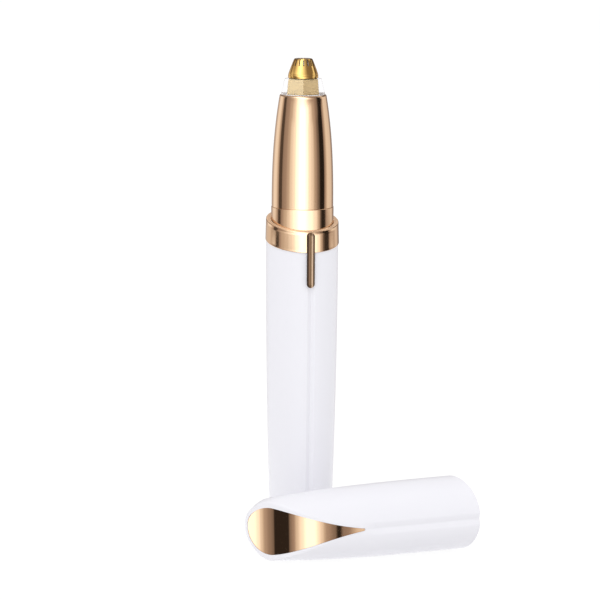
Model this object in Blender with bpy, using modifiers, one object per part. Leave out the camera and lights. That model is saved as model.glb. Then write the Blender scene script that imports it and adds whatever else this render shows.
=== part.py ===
"""Electric eyebrow trimmer, standing open on its foot, with its cap lying in front of it.

A slim battery sleeve carries the trimmer. The whole upper unit pulls straight out of it: a chassis
with the battery, the middle ring, the collar and the head cone with the motor. On the cone sits a
pull-off cutting head, whose slotted tip covers a turning cutter. Metres, +Z up, foot on z = 0.
"""

import math

import bmesh
import bpy
from mathutils import Matrix

# Fits between pieces
SEAT_GAP = 0.0003
FINE_GAP = 0.00015
OVERRUN = 0.002

# Points nearer than this are one point, edges bent more than this are sharp
WELD = 0.000001
SHARP_ANGLE = math.radians(32)

# Roundness of the turned pieces
SHELL_STEPS = 48
SMALL_STEPS = 24

# Slant of the joint line: the ring lies lowest at the switch and highest at the back
RIM_SLOPE = math.tan(math.radians(12))

# Crease, a shallow valley down the front of the cap and the sleeve
CREASE_DEPTH = 0.0005
CREASE_HALF_WIDTH = 0.0016

# Battery sleeve
SLEEVE_LENGTH = 0.0788
SLEEVE_SET_BACK = 0.00003
SLEEVE_TAPER = 0.0014
SLEEVE_WALL = 0.00105
SLEEVE_SLANT_RUN = 0.016
FOOT_ROUND = 0.0024
FOOT_THICKNESS = 0.0016

# Middle ring
RING_HEIGHT = 0.00505
RING_TOP_RADIUS = 0.0094
RING_DRAFT = 0.00015
RING_EDGE = 0.00015

# Collar
COLLAR_RADIUS = 0.00805
COLLAR_WALL = 0.001
COLLAR_REACH = 0.00405
COLLAR_SKIRT = 0.007

# Head cone
CONE_LENGTH = 0.0292
CONE_TAPER = 0.002
CONE_WALL = 0.001
CONE_BORE = 0.0052
CONE_EDGE = 0.0009

# Chassis: neck inside the sleeve, stem inside the collar, battery cradle below
NECK_REACH = 0.0218
CRADLE_FOOT = 0.0050
CRADLE_RADIUS = 0.0065
CRADLE_FLOOR = 0.001
BULKHEAD_HEIGHT = 0.0014
NECK_RADIUS = 0.0079
NECK_BORE = 0.0059
STEM_TOP_PLATE = 0.0012
LEAD_HOLE_RADIUS = 0.0037
WINDOW_SILL = 0.002
CROSSBAR_HEIGHT = 0.0022
CROSSBAR_DEPTH = 0.002
CROSSBAR_RISES = (0.009, 0.017)

# Seal ring in the neck
SEAL_RADIUS = 0.0077
SEAL_THICKNESS = 0.0009
SEAL_DROP = 0.0071

# Battery, an AAA cell; its length is what the bay leaves between spring and bulkhead
CELL_RADIUS = 0.00525
CELL_EDGE = 0.0003
NUB_RADIUS = 0.0019
NUB_HEIGHT = 0.0008

# Battery contacts
CONTACT_THICKNESS = 0.0003
CONTACT_HALF_WIDTH = 0.0011
CONTACT_FOOT_REACH = 0.0032
NEGATIVE_STRIP_INSET = 0.00035
PLUS_TAB_HALF_WIDTH = 0.0014
PLUS_PLATE_REACH = 0.0025
CONTACT_OVERLAP = 0.003

# Battery spring
SPRING_WIRE = 0.0005
SPRING_HEIGHT = 0.003
SPRING_BASE_RADIUS = 0.0034
SPRING_TOP_RADIUS = 0.002
SPRING_TURNS = 3
SPRING_TURN_POINTS = 9

# Motor
MOTOR_RADIUS = 0.005
MOTOR_EDGE = 0.0004
MOTOR_WALL = 0.0004
MAGNET_WALL = 0.0006
MAGNET_INSET = 0.0012
ARMATURE_GAP = 0.0003
MOTOR_BOSS_RADIUS = 0.0016
MOTOR_BOSS_HEIGHT = 0.0007
MOTOR_CAP_RADIUS = 0.0049
MOTOR_CAP_HEIGHT = 0.0015
SHAFT_RADIUS = 0.0005
SHAFT_REACH = 0.0036

# Motor holder
HOLDER_RADIUS = 0.0062
HOLDER_SHOULDER = 0.001
HOLDER_EYE_RADIUS = 0.0024
HOLDER_NECK_RADIUS = 0.0055
HOLDER_NECK_WALL = 0.0009
HOLDER_SLOT_HALF_WIDTH = 0.0009

# Drive coupling on the motor shaft
COUPLING_RADIUS = 0.0018
COUPLING_LENGTH = 0.0047
COUPLING_SOCKET_DEPTH = 0.0025
COUPLING_RISE = 0.0013
COUPLING_DROP = 0.00215
DRIVE_SQUARE = 0.0009

# Lamp board and lamps under the clear ring
LAMP_BOARD_RADIUS = 0.0055
LAMP_BOARD_HOLE = 0.0044
BOARD_THICKNESS = 0.0008
LAMP_RADIUS = 0.00045
LAMP_HEIGHT = 0.0007
LAMP_ROOM = 0.00175
LAMP_TOP_SHARE = 0.8

# Cutting head: hexagonal base, clear ring and slotted tip
HEAD_TURN_DEG = -13
HEX_BOTTOM_RADIUS = 0.0047
HEX_TOP_RADIUS = 0.0043
HEX_HEIGHT = 0.0036
SPIGOT_RADIUS = 0.00405
SPIGOT_LENGTH = 0.005
BUSH_RADIUS = 0.0015
CUTTER_SHAFT_RADIUS = 0.0006
LENS_BOTTOM_RADIUS = 0.00575
LENS_TOP_RADIUS = 0.0048
LENS_SKIRT_RADIUS = 0.00495
LENS_SKIRT_LENGTH = 0.0035
TIP_RADIUS = 0.00385
TIP_BAND = 0.0009
TIP_HEIGHT = 0.00505
TIP_TOP_RADIUS = 0.0023
TIP_EDGE = 0.00015
TIP_WALL = 0.0004
TIP_SLOTS = 16
TIP_SLOT_WIDTH = 0.0003
TIP_SLOT_DEPTH = 0.0018
TIP_HUB_RADIUS = 0.0012

# Cutter under the tip
VANE_THICKNESS = 0.00035
VANES = 6
CUTTER_HUB_RADIUS = 0.0015

# Switch: a slim bar outside, a carrier and a wiper inside
BAR_HALF_WIDTH = 0.00105
BAR_LENGTH = 0.0146
BAR_THICKNESS = 0.0008
BAR_STANDOFF = 0.0002
BAR_ABOVE_RIM = 0.0003
BAR_EDGE = 0.0005
SWITCH_TRAVEL = 0.002
POST_HALF_WIDTH = 0.0005
POST_HEIGHT = 0.001
POST_BELOW_RIM = 0.004
CARRIER_HALF_WIDTH = 0.0015
CARRIER_HEIGHT = 0.0046
CARRIER_DEPTH = 0.0005
WIPER_HALF_WIDTH = 0.001
WIPER_THICKNESS = 0.00015
WIPER_HEIGHT = 0.0035

# Switch board
SWITCH_BOARD_HALF_WIDTH = 0.0035
SWITCH_BOARD_FRONT = 0.0044
SWITCH_BOARD_RISE = 0.0015
SWITCH_BOARD_LENGTH = 0.0255

# Board screws
SCREW_HEAD_RADIUS = 0.001
SCREW_HEAD_HEIGHT = 0.00035
SCREW_SHANK_RADIUS = 0.0005
SCREW_LENGTH = 0.0026
SCREW_CROWN_SHARE = 0.7

# Leads
LEAD_RADIUS = 0.0004
LAMP_LEAD_RADIUS = 0.00025
LEAD_SPREAD = 0.0012
LAMP_LEAD_SPREAD = 0.0004

# Cap
CAP_LENGTH = 0.0552
CAP_TAPER = 0.0018
CAP_CURVE = 3
CAP_WALL = 0.001
CAP_SLANT_RUN = 0.014
CAP_CREASE_FADE = 0.004
CAP_HEADROOM = 0.0055
SCOOP_LENGTH = 0.030
SCOOP_LONG_POWER = 3.2
SCOOP_DEEP_POWER = 2.2
SCOOP_LEAD_OUT = 0.0005
SCOOP_STEPS = 14

# Teardrop inlay in the scoop
INLAY_THICKNESS = 0.0003
INLAY_INSET = 0.0001
INLAY_SHARE = 0.81
INLAY_BACK_LIP = 0.0008
INLAY_TAIL = 0.0003
INLAY_SEAT_WALL = 0.0008
INLAY_STEPS = 11

# How the cap lies: where it touches the ground, the share of its length that point is at, its turn
CAP_SIDE = 0.0109
CAP_FORWARD = 0.0278
CAP_REST_SHARE = 0.45
CAP_TURN_DEG = 5

# Radii that follow from the ring's: sleeve, ring and cap are flush where they meet
ring_bottom_radius = RING_TOP_RADIUS + RING_DRAFT
sleeve_top_radius = RING_TOP_RADIUS - SLEEVE_SET_BACK
cap_rim_radius = RING_TOP_RADIUS

# Heights that follow from the sizes, on the trimmer's axis
ring_bottom = SLEEVE_LENGTH + SEAT_GAP
ring_top = ring_bottom + RING_HEIGHT
cone_base = ring_top + COLLAR_REACH + SEAT_GAP
cone_top = cone_base + CONE_LENGTH
stem_top = cone_base - SEAT_GAP / 2
rim_front = ring_top - RING_TOP_RADIUS * RIM_SLOPE
bay_floor = CRADLE_FOOT + CRADLE_FLOOR
spring_foot = bay_floor + SEAT_GAP + CONTACT_THICKNESS + SEAT_GAP
cell_bottom = spring_foot + SPRING_HEIGHT + SEAT_GAP
neck_bottom = SLEEVE_LENGTH - NECK_REACH
bay_top = neck_bottom - BULKHEAD_HEIGHT
cell_top = bay_top - SEAT_GAP - CONTACT_THICKNESS - SEAT_GAP
bay_radius = CELL_RADIUS + SEAT_GAP
stem_radius = COLLAR_RADIUS - COLLAR_WALL - SEAT_GAP
board_bottom = neck_bottom + SWITCH_BOARD_RISE
board_top = board_bottom + SWITCH_BOARD_LENGTH
board_back = SWITCH_BOARD_FRONT - BOARD_THICKNESS
lens_bottom = cone_top + SEAT_GAP
hex_bottom = lens_bottom + SEAT_GAP
hex_top = hex_bottom + HEX_HEIGHT
spigot_bottom = hex_bottom - SPIGOT_LENGTH
coupling_top = spigot_bottom - COUPLING_DROP
coupling_bottom = coupling_top - COUPLING_LENGTH
socket_floor = coupling_top - COUPLING_SOCKET_DEPTH
motor_cap_bottom = stem_top + SEAT_GAP
motor_bottom = motor_cap_bottom + MOTOR_CAP_HEIGHT + SEAT_GAP
motor_top = coupling_bottom - COUPLING_RISE - MOTOR_BOSS_HEIGHT
shaft_top = motor_top + SHAFT_REACH
lamp_board_top = lens_bottom - LENS_SKIRT_LENGTH - LAMP_ROOM
lamp_board_bottom = lamp_board_top - BOARD_THICKNESS
holder_top = lamp_board_bottom - SEAT_GAP
tip_bottom = hex_top + FINE_GAP
tip_top = tip_bottom + TIP_HEIGHT
cutter_bottom = tip_bottom + SEAT_GAP
cutter_top = tip_top - TIP_WALL - SEAT_GAP
cap_rim = ring_top + SEAT_GAP
cap_top = cap_rim + CAP_LENGTH
scoop_bottom = cap_top - SCOOP_LENGTH

for old in list(bpy.data.objects):
    bpy.data.objects.remove(old)

parts = bpy.data.collections.new("eyebrow_trimmer")
cutters = bpy.data.collections.new("cutters")
bpy.context.scene.collection.children.link(parts)
bpy.context.scene.collection.children.link(cutters)


def finish(name, color, roughness, metallic=0.0, clear=0.0):
    """A plain material with the piece's colour, roughness and metallic value."""
    material = bpy.data.materials.new(name)
    material.use_nodes = True
    shader = material.node_tree.nodes["Principled BSDF"]
    shader.inputs["Base Color"].default_value = (*color, 1.0)
    shader.inputs["Roughness"].default_value = roughness
    shader.inputs["Metallic"].default_value = metallic
    shader.inputs["Transmission Weight"].default_value = clear
    return material


white_plastic = finish("white_plastic", (0.86, 0.86, 0.89), 0.25)
rose_gold = finish("rose_gold", (0.95, 0.70, 0.52), 0.08, metallic=1.0)
yellow_gold = finish("yellow_gold", (0.90, 0.62, 0.24), 0.15, metallic=1.0)
cream_plastic = finish("cream_plastic", (0.83, 0.68, 0.48), 0.4)
clear_plastic = finish("clear_plastic", (0.98, 0.98, 0.98), 0.05, clear=1.0)
ivory_plastic = finish("ivory_plastic", (0.75, 0.74, 0.70), 0.5)
black_plastic = finish("black_plastic", (0.03, 0.03, 0.03), 0.5)
steel = finish("steel", (0.62, 0.62, 0.62), 0.3, metallic=1.0)
brass = finish("brass", (0.80, 0.62, 0.30), 0.3, metallic=1.0)
ferrite = finish("ferrite", (0.06, 0.06, 0.065), 0.6)
green_board = finish("green_board", (0.05, 0.25, 0.12), 0.5)
cell_wrap = finish("cell_wrap", (0.10, 0.25, 0.45), 0.4)
rubber = finish("rubber", (0.04, 0.04, 0.04), 0.8)
red_wire = finish("red_wire", (0.6, 0.03, 0.03), 0.5)
black_wire = finish("black_wire", (0.02, 0.02, 0.02), 0.5)


def place(name, data, material, collection=parts):
    """An object with this mesh or curve, in the parts or the cutters."""
    piece = bpy.data.objects.new(name, data)
    collection.objects.link(piece)
    if material is not None:
        data.materials.append(material)
    if collection is cutters:
        piece.hide_render = True
        piece.display_type = "WIRE"
    return piece


def bake(piece):
    """Puts the evaluated shape into the object's mesh, with its doubles welded."""
    bpy.context.view_layer.update()
    evaluated = piece.evaluated_get(bpy.context.evaluated_depsgraph_get())
    mesh = bpy.data.meshes.new_from_object(evaluated)
    shape = bmesh.new()
    shape.from_mesh(mesh)
    bmesh.ops.remove_doubles(shape, verts=shape.verts, dist=WELD)
    shape.to_mesh(mesh)
    shape.free()
    if piece.type == "MESH":
        piece.modifiers.clear()
        piece.data = mesh
        return piece
    name, matrix = piece.name, piece.matrix_world.copy()
    owners = list(piece.users_collection)
    bpy.data.objects.remove(piece)
    solid = place(name, mesh, None, owners[0])
    solid.matrix_world = matrix
    return solid


def smooth(piece):
    """Smooth shading that keeps the sharp edges."""
    piece.data.shade_smooth()
    piece.data.set_sharp_from_angle(angle=SHARP_ANGLE)
    return piece


def turned(name, profile, material, closed=False, steps=SHELL_STEPS, collection=parts):
    """Turns a profile of (radius, height) points about Z.

    The outer side runs top to bottom. An open profile ends on the axis, a closed one is a ring.
    """
    mesh = bpy.data.meshes.new(name)
    count = len(profile)
    edges = [(i, i + 1) for i in range(count - 1)]
    if closed:
        edges.append((count - 1, 0))
    mesh.from_pydata([(radius, 0, height) for radius, height in profile], edges, [])
    piece = place(name, mesh, material, collection)
    screw = piece.modifiers.new("turn", "SCREW")
    screw.axis = "Z"
    screw.steps = steps
    screw.render_steps = steps
    screw.use_merge_vertices = True
    screw.merge_threshold = WELD
    return smooth(bake(piece))


def box(name, low, high, material, collection=parts):
    """A box between two corners."""
    shape = bmesh.new()
    bmesh.ops.create_cube(shape, size=1.0)
    size = [b - a for a, b in zip(low, high)]
    middle = [(a + b) / 2 for a, b in zip(low, high)]
    shape.transform(Matrix.Translation(middle) @ Matrix.Diagonal((*size, 1)))
    mesh = bpy.data.meshes.new(name)
    shape.to_mesh(mesh)
    shape.free()
    return place(name, mesh, material, collection)


def cylinder(name, radius, bottom, top, material, collection=parts, top_radius=None, sides=SMALL_STEPS):
    """An upright cylinder or frustum on the Z axis."""
    shape = bmesh.new()
    bmesh.ops.create_cone(
        shape,
        cap_ends=True,
        segments=sides,
        radius1=radius,
        radius2=radius if top_radius is None else top_radius,
        depth=top - bottom,
        matrix=Matrix.Translation((0, 0, (bottom + top) / 2)),
    )
    mesh = bpy.data.meshes.new(name)
    shape.to_mesh(mesh)
    shape.free()
    return place(name, mesh, material, collection)


def plate(name, outline, half_thickness, axes, material, collection=parts):
    """A flat outline made thick: a filled curve, placed by the three axes of its own frame."""
    curve = bpy.data.curves.new(name, "CURVE")
    curve.dimensions = "2D"
    curve.fill_mode = "BOTH"
    curve.extrude = half_thickness
    spline = curve.splines.new("POLY")
    spline.points.add(len(outline) - 1)
    for point, (across, along) in zip(spline.points, outline):
        point.co = (across, along, 0, 1)
    spline.use_cyclic_u = True
    solid = bake(place(name, curve, material, collection))
    solid.data.transform(axes)
    shape = bmesh.new()
    shape.from_mesh(solid.data)
    bmesh.ops.recalc_face_normals(shape, faces=shape.faces)
    shape.to_mesh(solid.data)
    shape.free()
    return solid


def side_axes(offset=0.0):
    """Outline axes for a profile drawn in (y, z), thick along x, its middle at x = offset."""
    return Matrix(((0, 0, 1, offset), (1, 0, 0, 0), (0, 1, 0, 0), (0, 0, 0, 1)))


def front_axes(depth):
    """Outline axes for a shape drawn in (x, z), thick along y, its middle at y = -depth."""
    return Matrix(((1, 0, 0, 0), (0, 0, -1, -depth), (0, 1, 0, 0), (0, 0, 0, 1)))


def combine(piece, other, operation="DIFFERENCE"):
    """Cuts, joins or meets a piece with another object."""
    boolean = piece.modifiers.new(f"{operation.lower()}_{other.name}", "BOOLEAN")
    boolean.object = other
    boolean.operation = operation
    boolean.solver = "EXACT"
    return piece


def slant(mesh, full_at, zero_at):
    """Raises points by their y times the rim slope, fully at one height and not at all at another."""
    for vertex in mesh.vertices:
        share = min(1, max(0, (vertex.co.z - zero_at) / (full_at - zero_at)))
        vertex.co.z += vertex.co.y * RIM_SLOPE * share


def crease(mesh, outer_radius, wall, strength):
    """Sinks the outer wall into a valley at the front, as deep as strength says at each height."""
    for vertex in mesh.vertices:
        x, y, z = vertex.co
        radius = math.hypot(x, y)
        if radius < outer_radius(z) - wall / 2:
            continue
        arc = abs(math.atan2(x, -y)) * radius
        depth = CREASE_DEPTH * max(0, 1 - arc / CREASE_HALF_WIDTH) * strength(z)
        vertex.co.x -= x / radius * depth
        vertex.co.y -= y / radius * depth


def smooth_route(points, samples):
    """Points on a smooth curve through the given ones, for the leads."""
    padded = [points[0], *points, points[-1]]
    route = []
    for before, start, end, after in zip(padded, padded[1:], padded[2:], padded[3:]):
        for step in range(samples):
            t = step / samples
            route.append(
                tuple(
                    b
                    + t * (c - a) / 2
                    + t**2 * (a - 2.5 * b + 2 * c - d / 2)
                    + t**3 * (1.5 * (b - c) + (d - a) / 2)
                    for a, b, c, d in zip(before, start, end, after)
                )
            )
    route.append(points[-1])
    return route


def tube(name, points, radius, material, resolution=2):
    """A wire: an open curve with a round bevel and filled caps."""
    curve = bpy.data.curves.new(name, "CURVE")
    curve.dimensions = "3D"
    curve.bevel_depth = radius
    curve.bevel_resolution = resolution
    curve.use_fill_caps = True
    spline = curve.splines.new("POLY")
    spline.points.add(len(points) - 1)
    for point, co in zip(spline.points, points):
        point.co = (*co, 1)
    return place(name, curve, material)


def shares(count):
    """Even steps from 0 to 1."""
    return [step / count for step in range(count + 1)]


def quarter_round(radius, low, edge, count):
    """The lower outer corner of a profile, from the side down to the flat."""
    corner = []
    for share in shares(count):
        angle = share * math.pi / 2
        corner.append((radius - edge * (1 - math.cos(angle)), low + edge * (1 - math.sin(angle))))
    return corner


def sleeve_radius(height):
    """Outer radius of the sleeve: it narrows towards the foot on a soft curve."""
    return sleeve_top_radius - SLEEVE_TAPER * ((SLEEVE_LENGTH - height) / SLEEVE_LENGTH) ** 2


def make_sleeve():
    """The lower shell, a deep cup with a slanted rim, a rounded foot and the crease."""
    inner = [
        (sleeve_radius(height) - SLEEVE_WALL, height)
        for height in (FOOT_THICKNESS + share * (SLEEVE_LENGTH - FOOT_THICKNESS) for share in shares(5))
    ]
    outer = [
        (sleeve_radius(height), height)
        for height in (SLEEVE_LENGTH - share * (SLEEVE_LENGTH - FOOT_ROUND) for share in shares(7))
    ]
    foot = quarter_round(sleeve_radius(FOOT_ROUND), 0, FOOT_ROUND, 4)
    profile = [(0, FOOT_THICKNESS), *inner, *outer[:-1], *foot, (0, 0)]
    sleeve = turned("battery_sleeve", profile, white_plastic)
    crease(
        sleeve.data,
        sleeve_radius,
        SLEEVE_WALL,
        lambda height: min(1, max(0, (height - FOOT_ROUND / 2) / FOOT_ROUND)),
    )
    slant(sleeve.data, SLEEVE_LENGTH, SLEEVE_LENGTH - SLEEVE_SLANT_RUN)


def make_switch_slot():
    """The slot that the switch post moves in, through ring, collar and chassis."""
    slot_low = rim_front - POST_BELOW_RIM - SEAT_GAP
    slot_high = slot_low + POST_HEIGHT + SWITCH_TRAVEL + 2 * SEAT_GAP
    half = POST_HALF_WIDTH + SEAT_GAP
    return box(
        "switch_slot",
        (-half, -ring_bottom_radius - OVERRUN, slot_low),
        (half, -SWITCH_BOARD_FRONT, slot_high),
        None,
        cutters,
    )


def make_ring(slot):
    """The middle ring with the shoulder that the cap's rim meets, slanted like the rim."""
    inner = COLLAR_RADIUS + SEAT_GAP
    profile = [
        (inner, ring_top),
        (RING_TOP_RADIUS - RING_EDGE, ring_top),
        (RING_TOP_RADIUS, ring_top - RING_EDGE),
        (ring_bottom_radius, ring_bottom + RING_EDGE),
        (ring_bottom_radius - RING_EDGE, ring_bottom),
        (inner, ring_bottom),
    ]
    ring = turned("middle_ring", profile, rose_gold, closed=True)
    slant(ring.data, ring_bottom, ring_bottom - SEAT_GAP)
    combine(ring, slot)


def make_collar(slot):
    """The straight gold collar that the cap slides over."""
    top, bottom = cone_base - SEAT_GAP, cone_base - SEAT_GAP - COLLAR_REACH - COLLAR_SKIRT
    inner = COLLAR_RADIUS - COLLAR_WALL
    profile = [
        (inner, top),
        (COLLAR_RADIUS - RING_EDGE, top),
        (COLLAR_RADIUS, top - RING_EDGE),
        (COLLAR_RADIUS, bottom),
        (inner, bottom),
    ]
    combine(turned("collar", profile, rose_gold, closed=True), slot)


def cone_radius(height):
    """Outer radius of the head cone: nearly straight below, drawn in towards the top."""
    return COLLAR_RADIUS - CONE_TAPER * ((height - cone_base) / CONE_LENGTH) ** 2.5


def make_cone():
    """The head cone, a thin tapered tube with a rounded top edge."""
    side_top = cone_top - CONE_EDGE
    outer = [
        (cone_radius(height), height)
        for height in (side_top - share * (side_top - cone_base) for share in shares(7))
    ]
    rounding = []
    for share in shares(3):
        angle = share * math.pi / 2
        rounding.append(
            (outer[0][0] - CONE_EDGE * (1 - math.sin(angle)), cone_top - CONE_EDGE * (1 - math.cos(angle)))
        )
    inner = [
        (max(CONE_BORE, cone_radius(height) - CONE_WALL), height)
        for height in (cone_base + share * CONE_LENGTH for share in shares(4))
    ]
    turned("head_cone", [*rounding[:-1], *outer, *inner], rose_gold, closed=True)


def make_chassis(slot, plus_slot):
    """The inner frame: an open cradle for the cell, a neck in the sleeve and a stem in the collar."""
    collar_bottom = cone_base - SEAT_GAP - COLLAR_REACH - COLLAR_SKIRT
    neck_top = collar_bottom - SEAT_GAP
    seal_height = neck_top - SEAL_DROP + SEAL_THICKNESS
    groove = SEAL_THICKNESS / 2 + SEAT_GAP
    groove_floor = SEAL_RADIUS - SEAL_THICKNESS / 2 - FINE_GAP
    profile = [
        (0, stem_top),
        (stem_radius, stem_top),
        (stem_radius, neck_top),
        (NECK_RADIUS, neck_top),
        (NECK_RADIUS, seal_height + groove),
        (groove_floor, seal_height + groove),
        (groove_floor, seal_height - groove),
        (NECK_RADIUS, seal_height - groove),
        (NECK_RADIUS, neck_bottom),
        (CRADLE_RADIUS, bay_top),
        (CRADLE_RADIUS, CRADLE_FOOT),
        (0, CRADLE_FOOT),
    ]
    chassis = turned("chassis", profile, ivory_plastic)
    wide = NECK_RADIUS + OVERRUN
    strip_half = CONTACT_HALF_WIDTH + SEAT_GAP
    strip_front = CELL_RADIUS + SEAT_GAP + NEGATIVE_STRIP_INSET + CONTACT_THICKNESS
    strip_back = CELL_RADIUS - SEAT_GAP
    strip_top = board_bottom + CONTACT_OVERLAP + SEAT_GAP
    plate_low, plate_high = stem_top - STEM_TOP_PLATE, stem_top + OVERRUN
    cuts = [
        cylinder("bay_bore", bay_radius, bay_floor, bay_top, None, cutters),
        cylinder("neck_bore", NECK_BORE, neck_bottom, plate_low, None, cutters),
        cylinder("lead_hole", LEAD_HOLE_RADIUS, plate_low - OVERRUN, plate_high, None, cutters),
        box("window", (-wide, WINDOW_SILL, bay_floor), (wide, wide, bay_top), None, cutters),
        box(
            "strip_channel",
            (-strip_half, -strip_front, bay_floor),
            (strip_half, -strip_back, strip_top),
            None,
            cutters,
        ),
        plus_slot,
        box(
            "lamp_lead_notch",
            (-HOLDER_SLOT_HALF_WIDTH, 0, plate_low - OVERRUN),
            (HOLDER_SLOT_HALF_WIDTH, HOLDER_RADIUS, plate_high),
            None,
            cutters,
        ),
        slot,
    ]
    for cutter in cuts:
        combine(chassis, cutter)
    make_crossbars(chassis)
    smooth(bake(chassis))
    middle, thick = (SEAL_RADIUS, seal_height), SEAL_THICKNESS / 2
    profile = []
    for share in shares(8)[1:]:
        angle = math.tau * share
        profile.append((middle[0] + thick * math.sin(angle), middle[1] + thick * math.cos(angle)))
    turned("seal_ring", profile, rubber, closed=True)


def crossbar_heights():
    """Middle heights of the two bars that the switch board is screwed to."""
    return [neck_bottom + rise for rise in CROSSBAR_RISES]


def make_crossbars(chassis):
    """Two bars across the neck behind the switch board, each with a pilot hole for a screw."""
    bar_front = board_back - SEAT_GAP
    for number, height in enumerate(crossbar_heights(), start=1):
        low, high = height - CROSSBAR_HEIGHT / 2, height + CROSSBAR_HEIGHT / 2
        reach = (NECK_BORE + NECK_RADIUS) / 2 - SEAT_GAP
        bar = box(
            f"crossbar_{number}",
            (-reach, -bar_front, low),
            (reach, CROSSBAR_DEPTH - bar_front, high),
            None,
            cutters,
        )
        combine(chassis, bar, "UNION")
        pilot = screw_shape(f"pilot_hole_{number}", height, SEAT_GAP, cutters)
        combine(chassis, pilot)


def screw_shape(name, height, growth, collection):
    """A pan-head screw through the switch board, or its hole when it grows by a clearance."""
    head = SCREW_HEAD_RADIUS + growth
    shank = SCREW_SHANK_RADIUS + growth
    head_bottom = SWITCH_BOARD_FRONT + FINE_GAP
    profile = [
        (0, head_bottom + SCREW_HEAD_HEIGHT + growth),
        (head * SCREW_CROWN_SHARE, head_bottom + SCREW_HEAD_HEIGHT + growth),
        (head, head_bottom + SCREW_HEAD_HEIGHT / 2 + growth),
        (head, head_bottom),
        (shank, head_bottom),
        (shank, head_bottom - SCREW_LENGTH - growth),
        (0, head_bottom - SCREW_LENGTH - growth),
    ]
    screw = turned(name, profile, steel if collection is parts else None, steps=12, collection=collection)
    screw.data.transform(Matrix.Translation((0, 0, height)) @ Matrix.Rotation(math.pi / 2, 4, "X"))
    return screw


def make_board():
    """The switch board at the front of the neck and its two screws."""
    board = box(
        "switch_board",
        (-SWITCH_BOARD_HALF_WIDTH, -SWITCH_BOARD_FRONT, board_bottom),
        (SWITCH_BOARD_HALF_WIDTH, -board_back, board_top),
        green_board,
    )
    for number, height in enumerate(crossbar_heights(), start=1):
        screw_shape(f"board_screw_{number}", height, 0, parts)
        combine(board, bpy.data.objects[f"pilot_hole_{number}"])


def make_contacts():
    """The long negative contact, one bent strip, and the plus contact under the bulkhead."""
    foot = bay_floor + SEAT_GAP
    strip_back = CELL_RADIUS + SEAT_GAP + NEGATIVE_STRIP_INSET / 2
    strip_front = strip_back + CONTACT_THICKNESS
    tab = board_bottom + CONTACT_OVERLAP
    tab_end = SWITCH_BOARD_FRONT + SEAT_GAP
    outline = [
        (CONTACT_FOOT_REACH, foot),
        (CONTACT_FOOT_REACH, foot + CONTACT_THICKNESS),
        (-strip_back, foot + CONTACT_THICKNESS),
        (-strip_back, tab - CONTACT_THICKNESS),
        (-tab_end, tab - CONTACT_THICKNESS),
        (-tab_end, tab),
        (-strip_front, tab),
        (-strip_front, foot),
    ]
    plate("negative_contact", outline, CONTACT_HALF_WIDTH, side_axes(), brass)
    low = cell_top + SEAT_GAP
    high = low + CONTACT_THICKNESS
    tab_front = board_back - SEAT_GAP
    tab_back = tab_front - CONTACT_THICKNESS
    outline = [
        (PLUS_PLATE_REACH, low),
        (PLUS_PLATE_REACH, high),
        (-tab_back, high),
        (-tab_back, board_bottom + CONTACT_OVERLAP),
        (-tab_front, board_bottom + CONTACT_OVERLAP),
        (-tab_front, low),
    ]
    plate("plus_contact", outline, PLUS_TAB_HALF_WIDTH, side_axes(), brass)
    slot_half = PLUS_TAB_HALF_WIDTH + SEAT_GAP
    return box(
        "plus_tab_slot",
        (-slot_half, -tab_front - SEAT_GAP, bay_top - OVERRUN),
        (slot_half, -tab_back + SEAT_GAP, neck_bottom + OVERRUN),
        None,
        cutters,
    )


def make_battery():
    """One AAA cell, plus end up, on a conical spring."""
    body_top = cell_top - NUB_HEIGHT
    profile = [
        (0, cell_top),
        (NUB_RADIUS, cell_top),
        (NUB_RADIUS, body_top),
        (CELL_RADIUS - CELL_EDGE, body_top),
        (CELL_RADIUS, body_top - CELL_EDGE),
        (CELL_RADIUS, cell_bottom + CELL_EDGE),
        (CELL_RADIUS - CELL_EDGE, cell_bottom),
        (0, cell_bottom),
    ]
    turned("battery_cell", profile, cell_wrap, steps=SMALL_STEPS)
    points = []
    last = SPRING_TURNS * SPRING_TURN_POINTS
    low = spring_foot + SPRING_WIRE / 2
    for step in range(last + 1):
        share = step / last
        turn = math.tau * SPRING_TURNS * share
        radius = SPRING_BASE_RADIUS + share * (SPRING_TOP_RADIUS - SPRING_BASE_RADIUS)
        height = low + share * (SPRING_HEIGHT - SPRING_WIRE)
        points.append((radius * math.cos(turn), radius * math.sin(turn), height))
    gap = min(
        math.dist(a, b)
        for i, a in enumerate(points)
        for b in points[i + SPRING_TURN_POINTS // 2 :]
    )
    print(f"battery_spring least gap between turns: {(gap - SPRING_WIRE) * 1000:.2f} mm")
    tube("battery_spring", points, SPRING_WIRE / 2, steel, resolution=1)


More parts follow.
